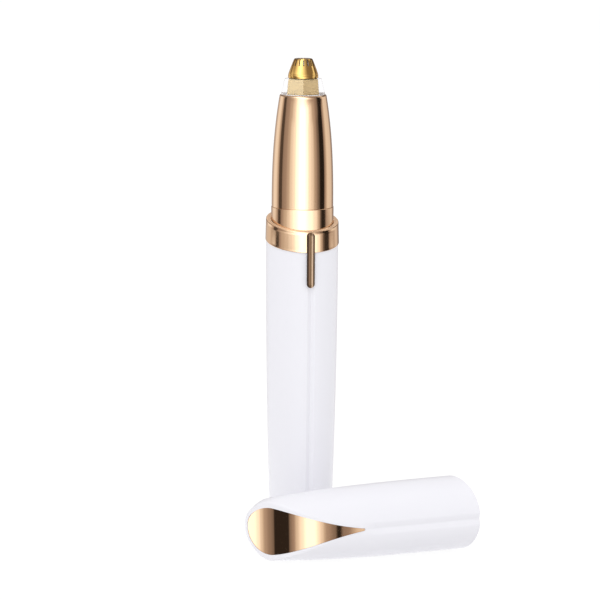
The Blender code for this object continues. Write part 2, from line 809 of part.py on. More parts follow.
def make_motor():
    """The motor in the cone: can, magnet, armature, shaft and end cap, its holder and the coupling."""
    bore = SHAFT_RADIUS + SEAT_GAP
    boss_top = motor_top + MOTOR_BOSS_HEIGHT
    profile = [
        (bore, boss_top),
        (MOTOR_BOSS_RADIUS, boss_top),
        (MOTOR_BOSS_RADIUS, motor_top),
        (MOTOR_RADIUS - MOTOR_EDGE, motor_top),
        (MOTOR_RADIUS, motor_top - MOTOR_EDGE),
        (MOTOR_RADIUS, motor_bottom),
        (MOTOR_RADIUS - MOTOR_WALL, motor_bottom),
        (MOTOR_RADIUS - MOTOR_WALL, motor_top - MOTOR_EDGE - MOTOR_WALL),
        (MOTOR_RADIUS - MOTOR_WALL - MOTOR_EDGE, motor_top - MOTOR_WALL),
        (bore, motor_top - MOTOR_WALL),
    ]
    turned("motor_can", profile, steel, closed=True, steps=SMALL_STEPS)
    magnet_radius = MOTOR_RADIUS - MOTOR_WALL - FINE_GAP
    magnet_bore = magnet_radius - MAGNET_WALL
    low, high = motor_bottom + MAGNET_INSET, motor_top - MOTOR_WALL - MAGNET_INSET
    profile = [(magnet_bore, high), (magnet_radius, high), (magnet_radius, low), (magnet_bore, low)]
    turned("motor_magnet", profile, ferrite, closed=True, steps=SMALL_STEPS)
    core_radius, core_bore = magnet_bore - ARMATURE_GAP, SHAFT_RADIUS + FINE_GAP
    profile = [(core_bore, high), (core_radius, high), (core_radius, low), (core_bore, low)]
    turned("motor_armature", profile, steel, closed=True, steps=SMALL_STEPS)
    cylinder("motor_end_cap", MOTOR_CAP_RADIUS, motor_cap_bottom, motor_bottom - SEAT_GAP, black_plastic)
    smooth(cylinder("motor_shaft", SHAFT_RADIUS, motor_bottom + SEAT_GAP, shaft_top, steel, sides=12))

    shoulder_low = motor_top + SEAT_GAP
    shoulder_high = shoulder_low + HOLDER_SHOULDER
    inner = MOTOR_RADIUS + SEAT_GAP
    profile = [
        (HOLDER_NECK_RADIUS - HOLDER_NECK_WALL, holder_top),
        (HOLDER_NECK_RADIUS, holder_top),
        (HOLDER_NECK_RADIUS, shoulder_high),
        (HOLDER_RADIUS, shoulder_high),
        (HOLDER_RADIUS, motor_cap_bottom),
        (inner, motor_cap_bottom),
        (inner, shoulder_low),
        (HOLDER_EYE_RADIUS, shoulder_low),
        (HOLDER_EYE_RADIUS, shoulder_high),
        (HOLDER_NECK_RADIUS - HOLDER_NECK_WALL, shoulder_high),
    ]
    holder = turned("motor_holder", profile, ivory_plastic, closed=True, steps=SMALL_STEPS)
    slot = box(
        "holder_slot",
        (-HOLDER_SLOT_HALF_WIDTH, HOLDER_NECK_RADIUS - 2 * HOLDER_NECK_WALL, motor_cap_bottom - OVERRUN),
        (HOLDER_SLOT_HALF_WIDTH, HOLDER_RADIUS + OVERRUN, holder_top - HOLDER_NECK_WALL),
        None,
        cutters,
    )
    combine(holder, slot)

    web = socket_floor - SEAT_GAP
    profile = [
        (0, coupling_top),
        (COUPLING_RADIUS, coupling_top),
        (COUPLING_RADIUS, coupling_bottom),
        (bore, coupling_bottom),
        (bore, min(shaft_top + SEAT_GAP, web)),
        (0, min(shaft_top + SEAT_GAP, web)),
    ]
    coupling = turned("drive_coupling", profile, black_plastic, steps=SMALL_STEPS)
    half = DRIVE_SQUARE / 2 + SEAT_GAP / 2
    mouth = coupling_top + OVERRUN
    combine(coupling, box("drive_socket", (-half, -half, socket_floor), (half, half, mouth), None, cutters))


def make_lamps():
    """The ring-shaped lamp board on the holder, with two lamps facing up into the clear ring."""
    profile = [
        (LAMP_BOARD_HOLE, lamp_board_top),
        (LAMP_BOARD_RADIUS, lamp_board_top),
        (LAMP_BOARD_RADIUS, lamp_board_bottom),
        (LAMP_BOARD_HOLE, lamp_board_bottom),
    ]
    turned("lamp_board", profile, green_board, closed=True, steps=SMALL_STEPS)
    middle = (LAMP_BOARD_HOLE + LAMP_BOARD_RADIUS) / 2
    low = lamp_board_top + SEAT_GAP
    crown = LAMP_RADIUS * LAMP_TOP_SHARE
    for name, side in (("lamp_left", -1), ("lamp_right", 1)):
        lamp = cylinder(name, LAMP_RADIUS, low, low + LAMP_HEIGHT, clear_plastic, top_radius=crown, sides=10)
        lamp.data.transform(Matrix.Translation((side * middle, 0, 0)))


def make_leads():
    """Two leads from the switch board to the motor and two to the lamp board."""
    y_board = -(board_back - SEAT_GAP - LEAD_RADIUS)
    start = board_top - 2 * CONTACT_OVERLAP
    for name, side, material in (("motor_lead_red", 1, red_wire), ("motor_lead_black", -1, black_wire)):
        x = side * LEAD_SPREAD
        route = [
            (x, y_board, start),
            (x, y_board, board_top),
            (x, y_board + LEAD_RADIUS, (board_top + stem_top) / 2),
            (x, y_board + LEAD_RADIUS, stem_top),
        ]
        tube(name, smooth_route(route, 3), LEAD_RADIUS, material)
    y_slot = MOTOR_RADIUS + SEAT_GAP + LAMP_LEAD_RADIUS
    y_top = HOLDER_NECK_RADIUS - HOLDER_NECK_WALL / 2
    bore_back = NECK_BORE - 2 * SEAT_GAP - LAMP_LEAD_RADIUS
    plate_low = stem_top - STEM_TOP_PLATE
    shoulder = motor_top + SEAT_GAP + HOLDER_SHOULDER
    for name, side, material in (("lamp_lead_red", 1, red_wire), ("lamp_lead_black", -1, black_wire)):
        x = side * LAMP_LEAD_SPREAD
        route = [
            (x, -(board_back - SEAT_GAP - LAMP_LEAD_RADIUS), start - CONTACT_OVERLAP / 2),
            (x, -board_back / 2, start + CONTACT_OVERLAP / 2),
            (x, bore_back / 2, plate_low - CONTACT_OVERLAP),
            (x, bore_back, plate_low),
            (x, y_slot, motor_bottom),
            (x, y_slot, (motor_bottom + motor_top) / 2),
            (x, y_slot, motor_top),
            (x, y_top, shoulder + SEAT_GAP),
            (x, y_top, holder_top - HOLDER_NECK_WALL - SEAT_GAP),
        ]
        tube(name, smooth_route(route, 2), LAMP_LEAD_RADIUS, material, resolution=1)


def tip_radius(height):
    """Outer radius of the tip: a straight band, then a nearly straight taper to the flat top."""
    share = max(0, height - tip_bottom - TIP_BAND) / (TIP_HEIGHT - TIP_BAND)
    return TIP_RADIUS - (TIP_RADIUS - TIP_TOP_RADIUS) * share**1.15


def make_tip():
    """The gold tip: a thin crown whose top and upper side are slotted all round."""
    side_top = tip_top - TIP_EDGE
    heights = [side_top - share * (side_top - tip_bottom - TIP_BAND) for share in shares(5)]
    outer = [(tip_radius(height), height) for height in heights]
    inner_top = tip_top - TIP_WALL
    band_top = tip_bottom + TIP_BAND
    inner = [
        (tip_radius(height) - TIP_WALL, height)
        for height in (band_top + share * (inner_top - band_top) for share in shares(3))
    ]
    profile = [
        (0, tip_top),
        (outer[0][0] - TIP_EDGE, tip_top),
        *outer,
        (TIP_RADIUS, tip_bottom),
        (TIP_RADIUS - TIP_WALL, tip_bottom),
        *inner,
        (0, inner_top),
    ]
    tip = turned("slotted_tip", profile, yellow_gold)
    slots = bmesh.new()
    length = TIP_RADIUS + OVERRUN - TIP_HUB_RADIUS
    height = TIP_SLOT_DEPTH + OVERRUN
    for number in range(TIP_SLOTS):
        blade = (
            Matrix.Rotation(math.tau * (number + 0.5) / TIP_SLOTS, 4, "Z")
            @ Matrix.Translation((TIP_HUB_RADIUS + length / 2, 0, tip_top - TIP_SLOT_DEPTH + height / 2))
            @ Matrix.Diagonal((length, TIP_SLOT_WIDTH, height, 1))
        )
        bmesh.ops.create_cube(slots, size=1.0, matrix=blade)
    mesh = bpy.data.meshes.new("tip_slots")
    slots.to_mesh(mesh)
    slots.free()
    combine(tip, place("tip_slots", mesh, None, cutters))


def make_head_base():
    """The hexagonal base with its round spigot, the brass bush in it and the clear ring round it."""
    turn = Matrix.Rotation(math.radians(HEAD_TURN_DEG), 4, "Z")
    base = cylinder(
        "head_base", HEX_BOTTOM_RADIUS, hex_bottom, hex_top, cream_plastic, top_radius=HEX_TOP_RADIUS, sides=6
    )
    base.data.transform(turn)
    spigot = cylinder("spigot", SPIGOT_RADIUS, spigot_bottom, hex_bottom + SEAT_GAP, None, cutters)
    bush_bore = BUSH_RADIUS + SEAT_GAP
    bore = cylinder("bush_bore", bush_bore, spigot_bottom - OVERRUN, hex_top + OVERRUN, None, cutters)
    combine(base, spigot, "UNION")
    combine(base, bore)

    inner = CUTTER_SHAFT_RADIUS + SEAT_GAP
    low, high = spigot_bottom + SEAT_GAP, hex_top - SEAT_GAP
    profile = [(inner, high), (BUSH_RADIUS, high), (BUSH_RADIUS, low), (inner, low)]
    turned("cutter_bush", profile, brass, closed=True, steps=SMALL_STEPS)

    skirt_bottom = lens_bottom - LENS_SKIRT_LENGTH
    skirt_bore = SPIGOT_RADIUS + SEAT_GAP
    profile = [
        (skirt_bore, hex_top),
        (LENS_TOP_RADIUS, hex_top),
        (LENS_BOTTOM_RADIUS, lens_bottom),
        (LENS_SKIRT_RADIUS, lens_bottom),
        (LENS_SKIRT_RADIUS, skirt_bottom),
        (skirt_bore, skirt_bottom),
    ]
    lens = turned("clear_ring", profile, clear_plastic, closed=True, steps=SHELL_STEPS)
    flare = (HEX_BOTTOM_RADIUS - HEX_TOP_RADIUS) / HEX_HEIGHT
    pocket_bottom = hex_bottom - FINE_GAP
    pocket = cylinder(
        "hex_pocket",
        HEX_BOTTOM_RADIUS + FINE_GAP * (1 + flare),
        pocket_bottom,
        hex_top + SEAT_GAP,
        None,
        cutters,
        top_radius=HEX_TOP_RADIUS + FINE_GAP - SEAT_GAP * flare,
        sides=6,
    )
    pocket.data.transform(turn)
    combine(lens, pocket)


def make_cutter():
    """The turning cutter under the tip: vanes that follow the tip's inside, on a square-ended shaft."""
    reach = TIP_WALL + SEAT_GAP
    heights = [cutter_bottom, tip_bottom + TIP_BAND, (tip_bottom + tip_top) / 2, cutter_top]
    side = [(tip_radius(height) - reach, height) for height in heights]
    profile = [(0, cutter_top), *reversed(side), (0, cutter_bottom)]
    blade = turned("cutter_blade", profile, steel, steps=SMALL_STEPS)
    half = VANE_THICKNESS / 2
    root = math.sqrt(CUTTER_HUB_RADIUS**2 - half**2)
    arm = [(root, -half), (TIP_RADIUS, -half), (TIP_RADIUS, half), (root, half)]
    outline = []
    for number in range(VANES):
        turn = math.tau * number / VANES
        outline += [
            (x * math.cos(turn) - y * math.sin(turn), x * math.sin(turn) + y * math.cos(turn)) for x, y in arm
        ]
        between = turn + math.pi / VANES
        outline.append((CUTTER_HUB_RADIUS * math.cos(between), CUTTER_HUB_RADIUS * math.sin(between)))
    tall = TIP_HEIGHT
    star = plate("cutter_star", outline, tall, Matrix.Translation((0, 0, cutter_bottom)), None, cutters)
    combine(blade, star, "INTERSECT")
    hub_bore = CUTTER_SHAFT_RADIUS + SEAT_GAP
    hub_roof = (cutter_bottom + cutter_top) / 2
    combine(blade, cylinder("hub_bore", hub_bore, cutter_bottom - OVERRUN, hub_roof, None, cutters))
    smooth(bake(blade))

    shaft_low = coupling_top + SEAT_GAP
    shaft = cylinder("cutter_shaft", CUTTER_SHAFT_RADIUS, shaft_low, hub_roof - SEAT_GAP, steel, sides=12)
    half = DRIVE_SQUARE / 2
    end = box(
        "shaft_square",
        (-half, -half, socket_floor + SEAT_GAP),
        (half, half, shaft_low + SEAT_GAP),
        None,
        cutters,
    )
    combine(shaft, end, "UNION")
    smooth(bake(shaft))


def make_switch():
    """The slim switch bar over the ring, its post through the ring, and carrier and wiper inside."""
    bar_top = rim_front + BAR_ABOVE_RIM
    bar_back = ring_bottom_radius + BAR_STANDOFF
    outline = []
    for start, height in ((0, bar_top - BAR_HALF_WIDTH), (math.pi, bar_top - BAR_LENGTH + BAR_HALF_WIDTH)):
        for share in shares(8):
            angle = start + share * math.pi
            outline.append((BAR_HALF_WIDTH * math.cos(angle), height + BAR_HALF_WIDTH * math.sin(angle)))
    bar = plate("switch_bar", outline, BAR_THICKNESS / 2, front_axes(bar_back + BAR_THICKNESS / 2), rose_gold)
    bevel = bar.modifiers.new("rounded_face", "BEVEL")
    bevel.width = BAR_EDGE / 2
    bevel.segments = 2
    bevel.limit_method = "ANGLE"
    bevel.angle_limit = math.radians(60)
    post_low = rim_front - POST_BELOW_RIM
    carrier_front = SWITCH_BOARD_FRONT + 2 * FINE_GAP + WIPER_THICKNESS + FINE_GAP + CARRIER_DEPTH
    post = box(
        "switch_post",
        (-POST_HALF_WIDTH, -bar_back - BAR_THICKNESS / 2, post_low),
        (POST_HALF_WIDTH, -carrier_front - FINE_GAP, post_low + POST_HEIGHT),
        None,
        cutters,
    )
    combine(bar, post, "UNION")
    middle = post_low + POST_HEIGHT / 2
    box(
        "switch_carrier",
        (-CARRIER_HALF_WIDTH, -carrier_front, middle - CARRIER_HEIGHT / 2),
        (CARRIER_HALF_WIDTH, CARRIER_DEPTH - carrier_front, middle + CARRIER_HEIGHT / 2),
        black_plastic,
    )
    wiper_back = SWITCH_BOARD_FRONT + 2 * FINE_GAP
    box(
        "switch_wiper",
        (-WIPER_HALF_WIDTH, -wiper_back - WIPER_THICKNESS, middle - WIPER_HEIGHT / 2),
        (WIPER_HALF_WIDTH, -wiper_back, middle + WIPER_HEIGHT / 2),
        brass,
    )


def cap_radius(height):
    """Outer radius of the cap, worn on the trimmer: it narrows towards its closed end."""
    return cap_rim_radius - CAP_TAPER * max(0, (height - cap_rim) / CAP_LENGTH) ** CAP_CURVE


def scoop_curve(offset, count=SCOOP_STEPS):
    """The scooped face in side view, as (y, z) points from its tail up over the top.

    It is a super-ellipse: it leaves the front slowly, bends over and runs flat to the back edge.
    Offset moves it into the cap, square to itself.
    """
    depth = 2 * cap_radius(cap_top)
    line = []
    for share in shares(count)[1:]:
        rise = 1 - (1 - share) ** SCOOP_DEEP_POWER
        height = scoop_bottom + SCOOP_LENGTH * rise
        back = depth * (1 - rise**SCOOP_LONG_POWER) ** (1 / SCOOP_DEEP_POWER)
        line.append((depth - back - cap_radius(height), height))
    moved = []
    for number, (y, z) in enumerate(line):
        before = line[max(0, number - 1)]
        after = line[min(len(line) - 1, number + 1)]
        along, up = after[0] - before[0], after[1] - before[1]
        length = math.hypot(along, up)
        moved.append((y + offset * up / length, z - offset * along / length))
    return moved


def scoop_block(name, offset):
    """Everything in front of and above the scooped face, moved into the cap by the offset."""
    line = scoop_curve(offset)
    lead_out = (-cap_radius(scoop_bottom) - SCOOP_LEAD_OUT + offset, scoop_bottom)
    outside = cap_rim_radius + OVERRUN
    front, top = -2 * SCOOP_LENGTH, cap_top + SCOOP_LENGTH
    outline = [lead_out, *line, (outside, line[-1][1]), (outside, top), (front, top), (front, lead_out[1])]
    return plate(name, outline, outside, side_axes(), None, cutters)


def inlay_prism(name, shrink, collection, material):
    """The teardrop outline, square to the scoop at 45 degrees, smaller all round by shrink."""
    lean = math.sqrt(0.5)
    face = scoop_curve(0, INLAY_STEPS)
    half = []
    for y, z in face:
        radius = cap_radius(z)
        reach = radius if y < 0 else radius - INLAY_BACK_LIP
        width = INLAY_SHARE * radius * math.sqrt(max(0, 1 - (y / reach) ** 2)) - shrink
        if width > INLAY_TAIL:
            half.append((width, (y + z) * lean))
    tail = (INLAY_TAIL / 2, half[0][1] - 2 * half[0][0])
    crown = (half[-1][0] / 2, (cap_radius(cap_top) - INLAY_BACK_LIP - shrink + cap_top) * lean)
    half = [tail, *half, crown]
    outline = [*half, *[(-x, t) for x, t in reversed(half)]]
    axes = Matrix(((1, 0, 0, 0), (0, lean, -lean, 0), (0, lean, lean, 0), (0, 0, 0, 1)))
    middle = sum(z - y for y, z in face) * lean / len(face)
    axes = axes @ Matrix.Translation((0, 0, middle))
    return plate(name, outline, SCOOP_LENGTH / 2, axes, material, collection)


def make_cap():
    """The cap, modelled as worn and then laid down: shell with its scooped face, and the inlay."""
    full = CAP_LENGTH + OVERRUN
    heights = [cap_rim + (1 - share) * full for share in shares(9)]
    profile = [(0, cap_rim + full), *[(cap_radius(height), height) for height in heights], (0, cap_rim)]
    shell = turned("cap_shell", profile, white_plastic)
    crease(
        shell.data,
        cap_radius,
        CAP_WALL,
        lambda height: min(1, max(0, (scoop_bottom + 2 * CAP_CREASE_FADE - height) / CAP_CREASE_FADE)),
    )
    slant(shell.data, cap_rim, cap_rim + CAP_SLANT_RUN)

    cavity_top = cap_top - CAP_HEADROOM
    mouth_height = cap_rim + SEAT_GAP
    inner = [
        (cap_radius(height) - CAP_WALL, height)
        for height in (cavity_top - share * (cavity_top - mouth_height) for share in shares(6))
    ]
    profile = [(0, cavity_top), *inner, (inner[-1][0], cap_rim - OVERRUN), (0, cap_rim - OVERRUN)]
    cavity = turned("cap_cavity", profile, None, collection=cutters)
    slant(cavity.data, cap_rim, cap_rim + CAP_SLANT_RUN)
    seat = 2 * INLAY_INSET + INLAY_THICKNESS
    combine(cavity, scoop_block("cavity_roof", seat + INLAY_SEAT_WALL))

    recess = inlay_prism("inlay_recess", 0, cutters, None)
    combine(recess, scoop_block("recess_floor", seat), "INTERSECT")
    combine(shell, scoop_block("scoop", 0))
    combine(shell, recess)
    combine(shell, cavity)
    smooth(bake(shell))

    inlay = inlay_prism("cap_inlay", FINE_GAP, parts, rose_gold)
    combine(inlay, scoop_block("inlay_face", INLAY_INSET))
    combine(inlay, scoop_block("inlay_back", INLAY_INSET + INLAY_THICKNESS), "INTERSECT")
    smooth(bake(inlay))
    return shell, inlay


def lay_cap_down(pieces):
    """Parents the cap to an empty that turns it from worn to lying, its closed end towards -X.

    It rests where its side is level with the ground, so it is tilted by the side's slope there.
    """
    touch = cap_rim + CAP_REST_SHARE * CAP_LENGTH
    tilt = math.atan(CAP_TAPER * CAP_CURVE * CAP_REST_SHARE ** (CAP_CURVE - 1) / CAP_LENGTH)
    rest = bpy.data.objects.new("cap_rest", None)
    parts.objects.link(rest)
    rest.matrix_world = (
        Matrix.Translation((CAP_SIDE, -CAP_FORWARD, cap_radius(touch) * math.cos(tilt)))
        @ Matrix.Rotation(math.radians(CAP_TURN_DEG), 4, "Z")
        @ Matrix.Rotation(-math.pi / 2 - tilt, 4, "Y")
        @ Matrix.Translation((0, 0, -touch))
    )
    for piece in pieces:
        piece.parent = rest


switch_slot = make_switch_slot()
make_sleeve()
make_ring(switch_slot)
make_collar(switch_slot)
make_cone()
plus_tab_slot = make_contacts()
make_chassis(switch_slot, plus_tab_slot)
make_board()
make_battery()
make_motor()
make_lamps()
make_leads()
make_head_base()
make_tip()
make_cutter()
make_switch()
lay_cap_down(make_cap())
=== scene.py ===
"""The looks of an electric eyebrow trimmer: it stands open on its foot, its cap lies in front of it."""

import math

import bmesh
import bpy
import numpy as np
from mathutils import Matrix, Vector


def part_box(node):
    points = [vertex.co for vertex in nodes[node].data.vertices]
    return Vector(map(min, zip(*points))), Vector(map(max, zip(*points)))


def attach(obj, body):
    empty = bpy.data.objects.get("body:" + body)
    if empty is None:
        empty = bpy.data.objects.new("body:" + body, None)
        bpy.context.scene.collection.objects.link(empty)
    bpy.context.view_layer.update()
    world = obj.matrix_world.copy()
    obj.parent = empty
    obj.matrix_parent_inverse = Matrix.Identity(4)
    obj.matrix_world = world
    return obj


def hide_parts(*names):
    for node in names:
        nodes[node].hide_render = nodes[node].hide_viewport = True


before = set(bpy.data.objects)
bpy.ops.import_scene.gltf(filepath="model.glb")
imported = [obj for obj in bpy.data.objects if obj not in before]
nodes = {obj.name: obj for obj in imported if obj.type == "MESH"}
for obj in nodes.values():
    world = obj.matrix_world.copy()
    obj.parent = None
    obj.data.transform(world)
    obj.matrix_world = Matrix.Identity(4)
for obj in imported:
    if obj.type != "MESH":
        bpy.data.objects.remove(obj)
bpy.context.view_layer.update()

# Camera: a long lens in front and a little to the left, looking slightly down on the trimmer,
# as in the photograph, with a trace of roll.
def placed(name, data):
    """An object with the given data, linked into the scene."""
    thing = bpy.data.objects.new(name, data)
    bpy.context.scene.collection.objects.link(thing)
    return thing


EYE = Vector((-0.17613, -0.73931, 0.1871))
AIM = Vector((-0.00046, 0.00014, 0.0631))
LENS_MM = 174.36
ROLL = math.radians(0.35)

camera_data = bpy.data.cameras.new("photo_camera")
camera_data.lens = LENS_MM
camera_data.sensor_width = 36
camera_data.clip_start = 0.05
camera_data.clip_end = 20
camera = placed("photo_camera", camera_data)
look = (AIM - EYE).to_track_quat("-Z", "Y").to_matrix()
camera.matrix_world = Matrix.Translation(EYE) @ (look @ Matrix.Rotation(ROLL, 3, "Z")).to_4x4()
bpy.context.scene.camera = camera
bpy.context.scene.view_settings.view_transform = "Standard"


# Studio: a white surround, a plain floor that keeps a faint shadow, and three large soft lamps.
# Mirror-like metal sees soft boxes and dark flags all round, in layers one above the other.
def feed(tree, node, inputs):
    """Sets inputs by their names or numbers, each to a value or to the socket that feeds it."""
    for key, value in inputs.items():
        if isinstance(value, bpy.types.NodeSocket):
            tree.links.new(value, node.inputs[key])
        else:
            node.inputs[key].default_value = value


def add_node(tree, kind, inputs, **settings):
    """A new shader node of a kind, with its inputs fed."""
    node = tree.nodes.new("ShaderNode" + kind)
    for name, value in settings.items():
        setattr(node, name, value)
    feed(tree, node, inputs)
    return node


def maths(tree, operation, *values):
    """The result of a maths node whose inputs are sockets or numbers."""
    return add_node(tree, "Math", dict(enumerate(values)), operation=operation).outputs[0]


def ramp(tree, level, stops, interpolation="LINEAR"):
    """The colour that a ramp gives for a level; its stops are (place from 0 to 1, colour) pairs."""
    node = add_node(tree, "ValToRGB", {0: level})
    node.color_ramp.interpolation = interpolation
    elements = node.color_ramp.elements
    elements.remove(elements[-1])
    for number, (place, colour) in enumerate(stops):
        element = elements[0] if number == 0 else elements.new(place)
        element.position = place
        element.color = (*colour, 1)
    return node.outputs[0]


def aimed_lamp(name, at, aim, size, watts, colour=(1, 1, 1)):
    """A round soft lamp at a place, aimed at another, that mirrors do not show."""
    data = bpy.data.lights.new(name, "AREA")
    data.shape = "DISK"
    data.size = size
    data.energy = watts
    data.color = colour
    lamp = placed(name, data)
    towards = (Vector(aim) - Vector(at)).to_track_quat("-Z", "Y").to_matrix().to_4x4()
    lamp.matrix_world = Matrix.Translation(at) @ towards
    lamp.visible_glossy = False
    return lamp


# strips of light and dark round the trimmer, as (degrees to the right of the lens, level) pairs;
# first what low surfaces such as the inlay see below the horizon
LOW_STRIPS = [
    (-180, 1.7), (-104, 1.7), (-88, 1.3), (-80, 0.88), (-69, 0.48), (-58, 0.32), (-50.5, 0.22), (-48, 0.03),
    (-24, 0.03), (-21.5, 0.26), (-16.5, 0.4), (-12, 0.8), (-6, 1.25), (0, 1.8), (7, 1.8), (10, 1.35),
    (13, 0.95), (17, 0.46), (22.8, 0.25), (23.2, 0.03), (26.2, 0.03), (26.7, 0.3), (30.0, 0.38), (32.0, 0.8),
    (40, 1.2), (70, 0.4), (110, 0.9), (150, 1.5), (180, 1.7),
]
# what the ring sees
RING_STRIPS = [
    (-180, 0.25), (-150, 0.4), (-134, 0.45), (-121, 0.75), (-110, 1.2), (-100, 1.3), (-94, 0.7), (-89, 0.06),
    (-87, 0.03), (-81, 0.03), (-76, 0.35), (-66, 0.58), (-50, 0.75), (-36, 1.05), (-27, 1.3), (-17, 1.85),
    (-4, 2.4), (14, 2.2), (40, 1.8), (54, 1.3), (64, 0.6), (72, 0.14), (78, 0.04), (90, 0.04), (98, 0.6),
    (112, 1.15), (124, 0.8), (138, 0.5), (152, 0.6), (180, 0.2),
]
# what the collar sees
COLLAR_STRIPS = [
    (-180, 0.4), (-150, 0.7), (-124, 0.75), (-108, 0.45), (-99, 0.07), (-92, 0.07), (-84, 0.4), (-65, 0.68),
    (-52, 0.97), (-40, 1.4), (-28, 1.8), (-8, 2.5), (8, 2.4), (28, 1.8), (51, 1.2), (64, 0.64), (73, 0.14),
    (78, 0.03), (93, 0.03), (100, 0.4), (116, 0.5), (136, 0.75), (152, 0.4), (168, 0.2), (180, 0.2),
]
# what the lower cone sees, and its drawn-in top
HIGH_STRIPS = [
    (-180, 0.3), (-150, 0.55), (-130, 1.0), (-118, 0.95), (-104, 0.5), (-98, 0.1), (-86, 0.08), (-80, 0.34),
    (-68, 0.4), (-56, 0.57), (-44, 0.93), (-32, 1.2), (-20, 1.9), (-8, 2.5), (6, 2.5), (15, 1.95), (26, 1.2),
    (38, 0.93), (50, 0.49), (63, 0.2), (72, 0.02), (88, 0.02), (94, 0.4), (110, 0.87), (134, 0.8),
    (150, 0.35), (180, 0.25),
]
CROWN_STRIPS = [
    (-180, 0.3), (-150, 0.5), (-128, 0.75), (-114, 0.6), (-104, 0.1), (-90, 0.08), (-80, 0.34), (-68, 0.4),
    (-52, 0.6), (-38, 0.95), (-24, 1.6), (-8, 2.5), (6, 2.5), (18, 1.8), (32, 1.0), (46, 0.55), (62, 0.3),
    (76, 0.02), (112, 0.02), (122, 0.25), (140, 0.4), (180, 0.3),
]
# what the band of the tip sees, and above it the tip's taper
BAND_STRIPS = [
    (-180, 0.3), (-136, 0.2), (-118, 0.25), (-106, 0.75), (-92, 0.85), (-82, 0.3), (-56, 0.22), (-46, 0.55),
    (-34, 1.0), (-18, 1.9), (0, 2.1), (14, 1.4), (24, 0.75), (40, 0.4), (54, 0.22), (74, 0.22),
    (86, 0.9), (104, 1.1), (114, 0.2), (124, 0.1), (180, 0.2),
]
TOP_STRIPS = [
    (-180, 0.6), (-164, 0.5), (-150, 0.1), (-128, 0.12), (-112, 0.3), (-84, 0.55), (-68, 1.0), (-46, 1.8),
    (-26, 2.9), (-14, 1.9), (8, 1.05), (24, 0.62), (38, 0.28), (90, 0.24), (98, 1.1), (116, 1.1), (122, 0.08),
    (150, 0.06), (166, 0.5), (180, 0.6),
]
# from which height over the horizon, in degrees, each set takes over from the last, and how softly
LAYERS = [
    (-12.5, 0.4, RING_STRIPS), (-10.4, 0.3, COLLAR_STRIPS), (-8.5, 0.3, HIGH_STRIPS),
    (6.5, 0.8, CROWN_STRIPS), (11.5, 0.8, BAND_STRIPS), (21.5, 1.0, TOP_STRIPS),
]
CEILING_FROM, CEILING_SOFT, CEILING_LEVEL = 72, 10, 0.3
# ramps hold levels up to 1, so the strips' levels are divided by this and the light is as much stronger
FULL_LEVEL = 3
# the half-lit boards are a little warm, the boxes are white
BOARD_TONES = [
    (0, (0, 0, 0)), (0.033, (0.033, 0.0267, 0.0233)), (0.133, (0.133, 0.111, 0.101)),
    (0.233, (0.233, 0.214, 0.197)), (0.333, (0.333, 0.328, 0.322)), (0.5, (0.5, 0.5, 0.5)), (1, (1, 1, 1)),
]
SOFT_LIGHT = 0.88
LENS_AZIMUTH = math.atan2(EYE.y, EYE.x)

surround = bpy.data.worlds.new("studio")
bpy.context.scene.world = surround
surround.use_nodes = True
tree = surround.node_tree
tree.nodes.clear()
ray = add_node(tree, "LightPath", {})
place = add_node(tree, "TexCoord", {})
split = add_node(tree, "SeparateXYZ", {0: place.outputs["Generated"]})
azimuth = maths(tree, "ARCTAN2", split.outputs["Y"], split.outputs["X"])
# turned to degrees right of the lens, as a share of the full circle
from_lens = maths(tree, "MULTIPLY", maths(tree, "SUBTRACT", azimuth, LENS_AZIMUTH), 1 / math.tau)
circle_share = maths(tree, "FRACT", maths(tree, "ADD", from_lens, 1.5))


def layer_mix(height, soft, below, above):
    """One level below a height over the horizon and another above it, with a soft change between them."""
    rise = add_node(tree, "MapRange", {
        "Value": split.outputs["Z"],
        "From Min": math.sin(math.radians(height - soft)),
        "From Max": math.sin(math.radians(height + soft)),
    })
    mix = add_node(tree, "Mix", {"Factor": rise.outputs[0], "A": below, "B": above}, data_type="FLOAT")
    return mix.outputs[0]


def strip_level(strips):
    """The level that a set of strips gives in the direction that is asked for."""
    stops = [((degrees + 180) / 360, [level / FULL_LEVEL] * 3) for degrees, level in strips]
    return ramp(tree, circle_share, stops, "EASE")


level = strip_level(LOW_STRIPS)
for height, soft, strips in LAYERS:
    level = layer_mix(height, soft, level, strip_level(strips))
level = layer_mix(CEILING_FROM, CEILING_SOFT, level, CEILING_LEVEL)
glossy_light = add_node(
    tree, "Background", {"Color": ramp(tree, level, BOARD_TONES), "Strength": float(FULL_LEVEL)}
)
soft_light = add_node(tree, "Background", {"Color": (1, 1, 1, 1), "Strength": SOFT_LIGHT})
white_wall = add_node(tree, "Background", {"Color": (1, 1, 1, 1), "Strength": 1.0})
lighting = add_node(
    tree, "MixShader", {0: ray.outputs["Is Glossy Ray"], 1: soft_light.outputs[0], 2: glossy_light.outputs[0]}
)
# the white wall shows to the lens and straight through the clear ring
straight = maths(tree, "LESS_THAN", ray.outputs["Diffuse Depth"], 0.5)
through = maths(tree, "MULTIPLY", ray.outputs["Is Transmission Ray"], straight)
shows_wall = maths(tree, "MAXIMUM", ray.outputs["Is Camera Ray"], through)
seen = add_node(tree, "MixShader", {0: shows_wall, 1: lighting.outputs[0], 2: white_wall.outputs[0]})
add_node(tree, "OutputWorld", {0: seen.outputs[0]})

BODY_MIDDLE = (0, 0, 0.06)
for name, at, size, watts in (
    ("soft_box_left", (-0.75, -0.85, 0.45), 0.9, 2.15),
    ("soft_box_right", (0.85, -0.35, 0.55), 0.8, 0.85),
    ("soft_box_top", (-0.05, -0.35, 0.95), 0.7, 1.2),
):
    aimed_lamp(name, at, BODY_MIDDLE, size, watts)

FLOOR_HALF = 3.0
FLOOR_DROP = 0.00002
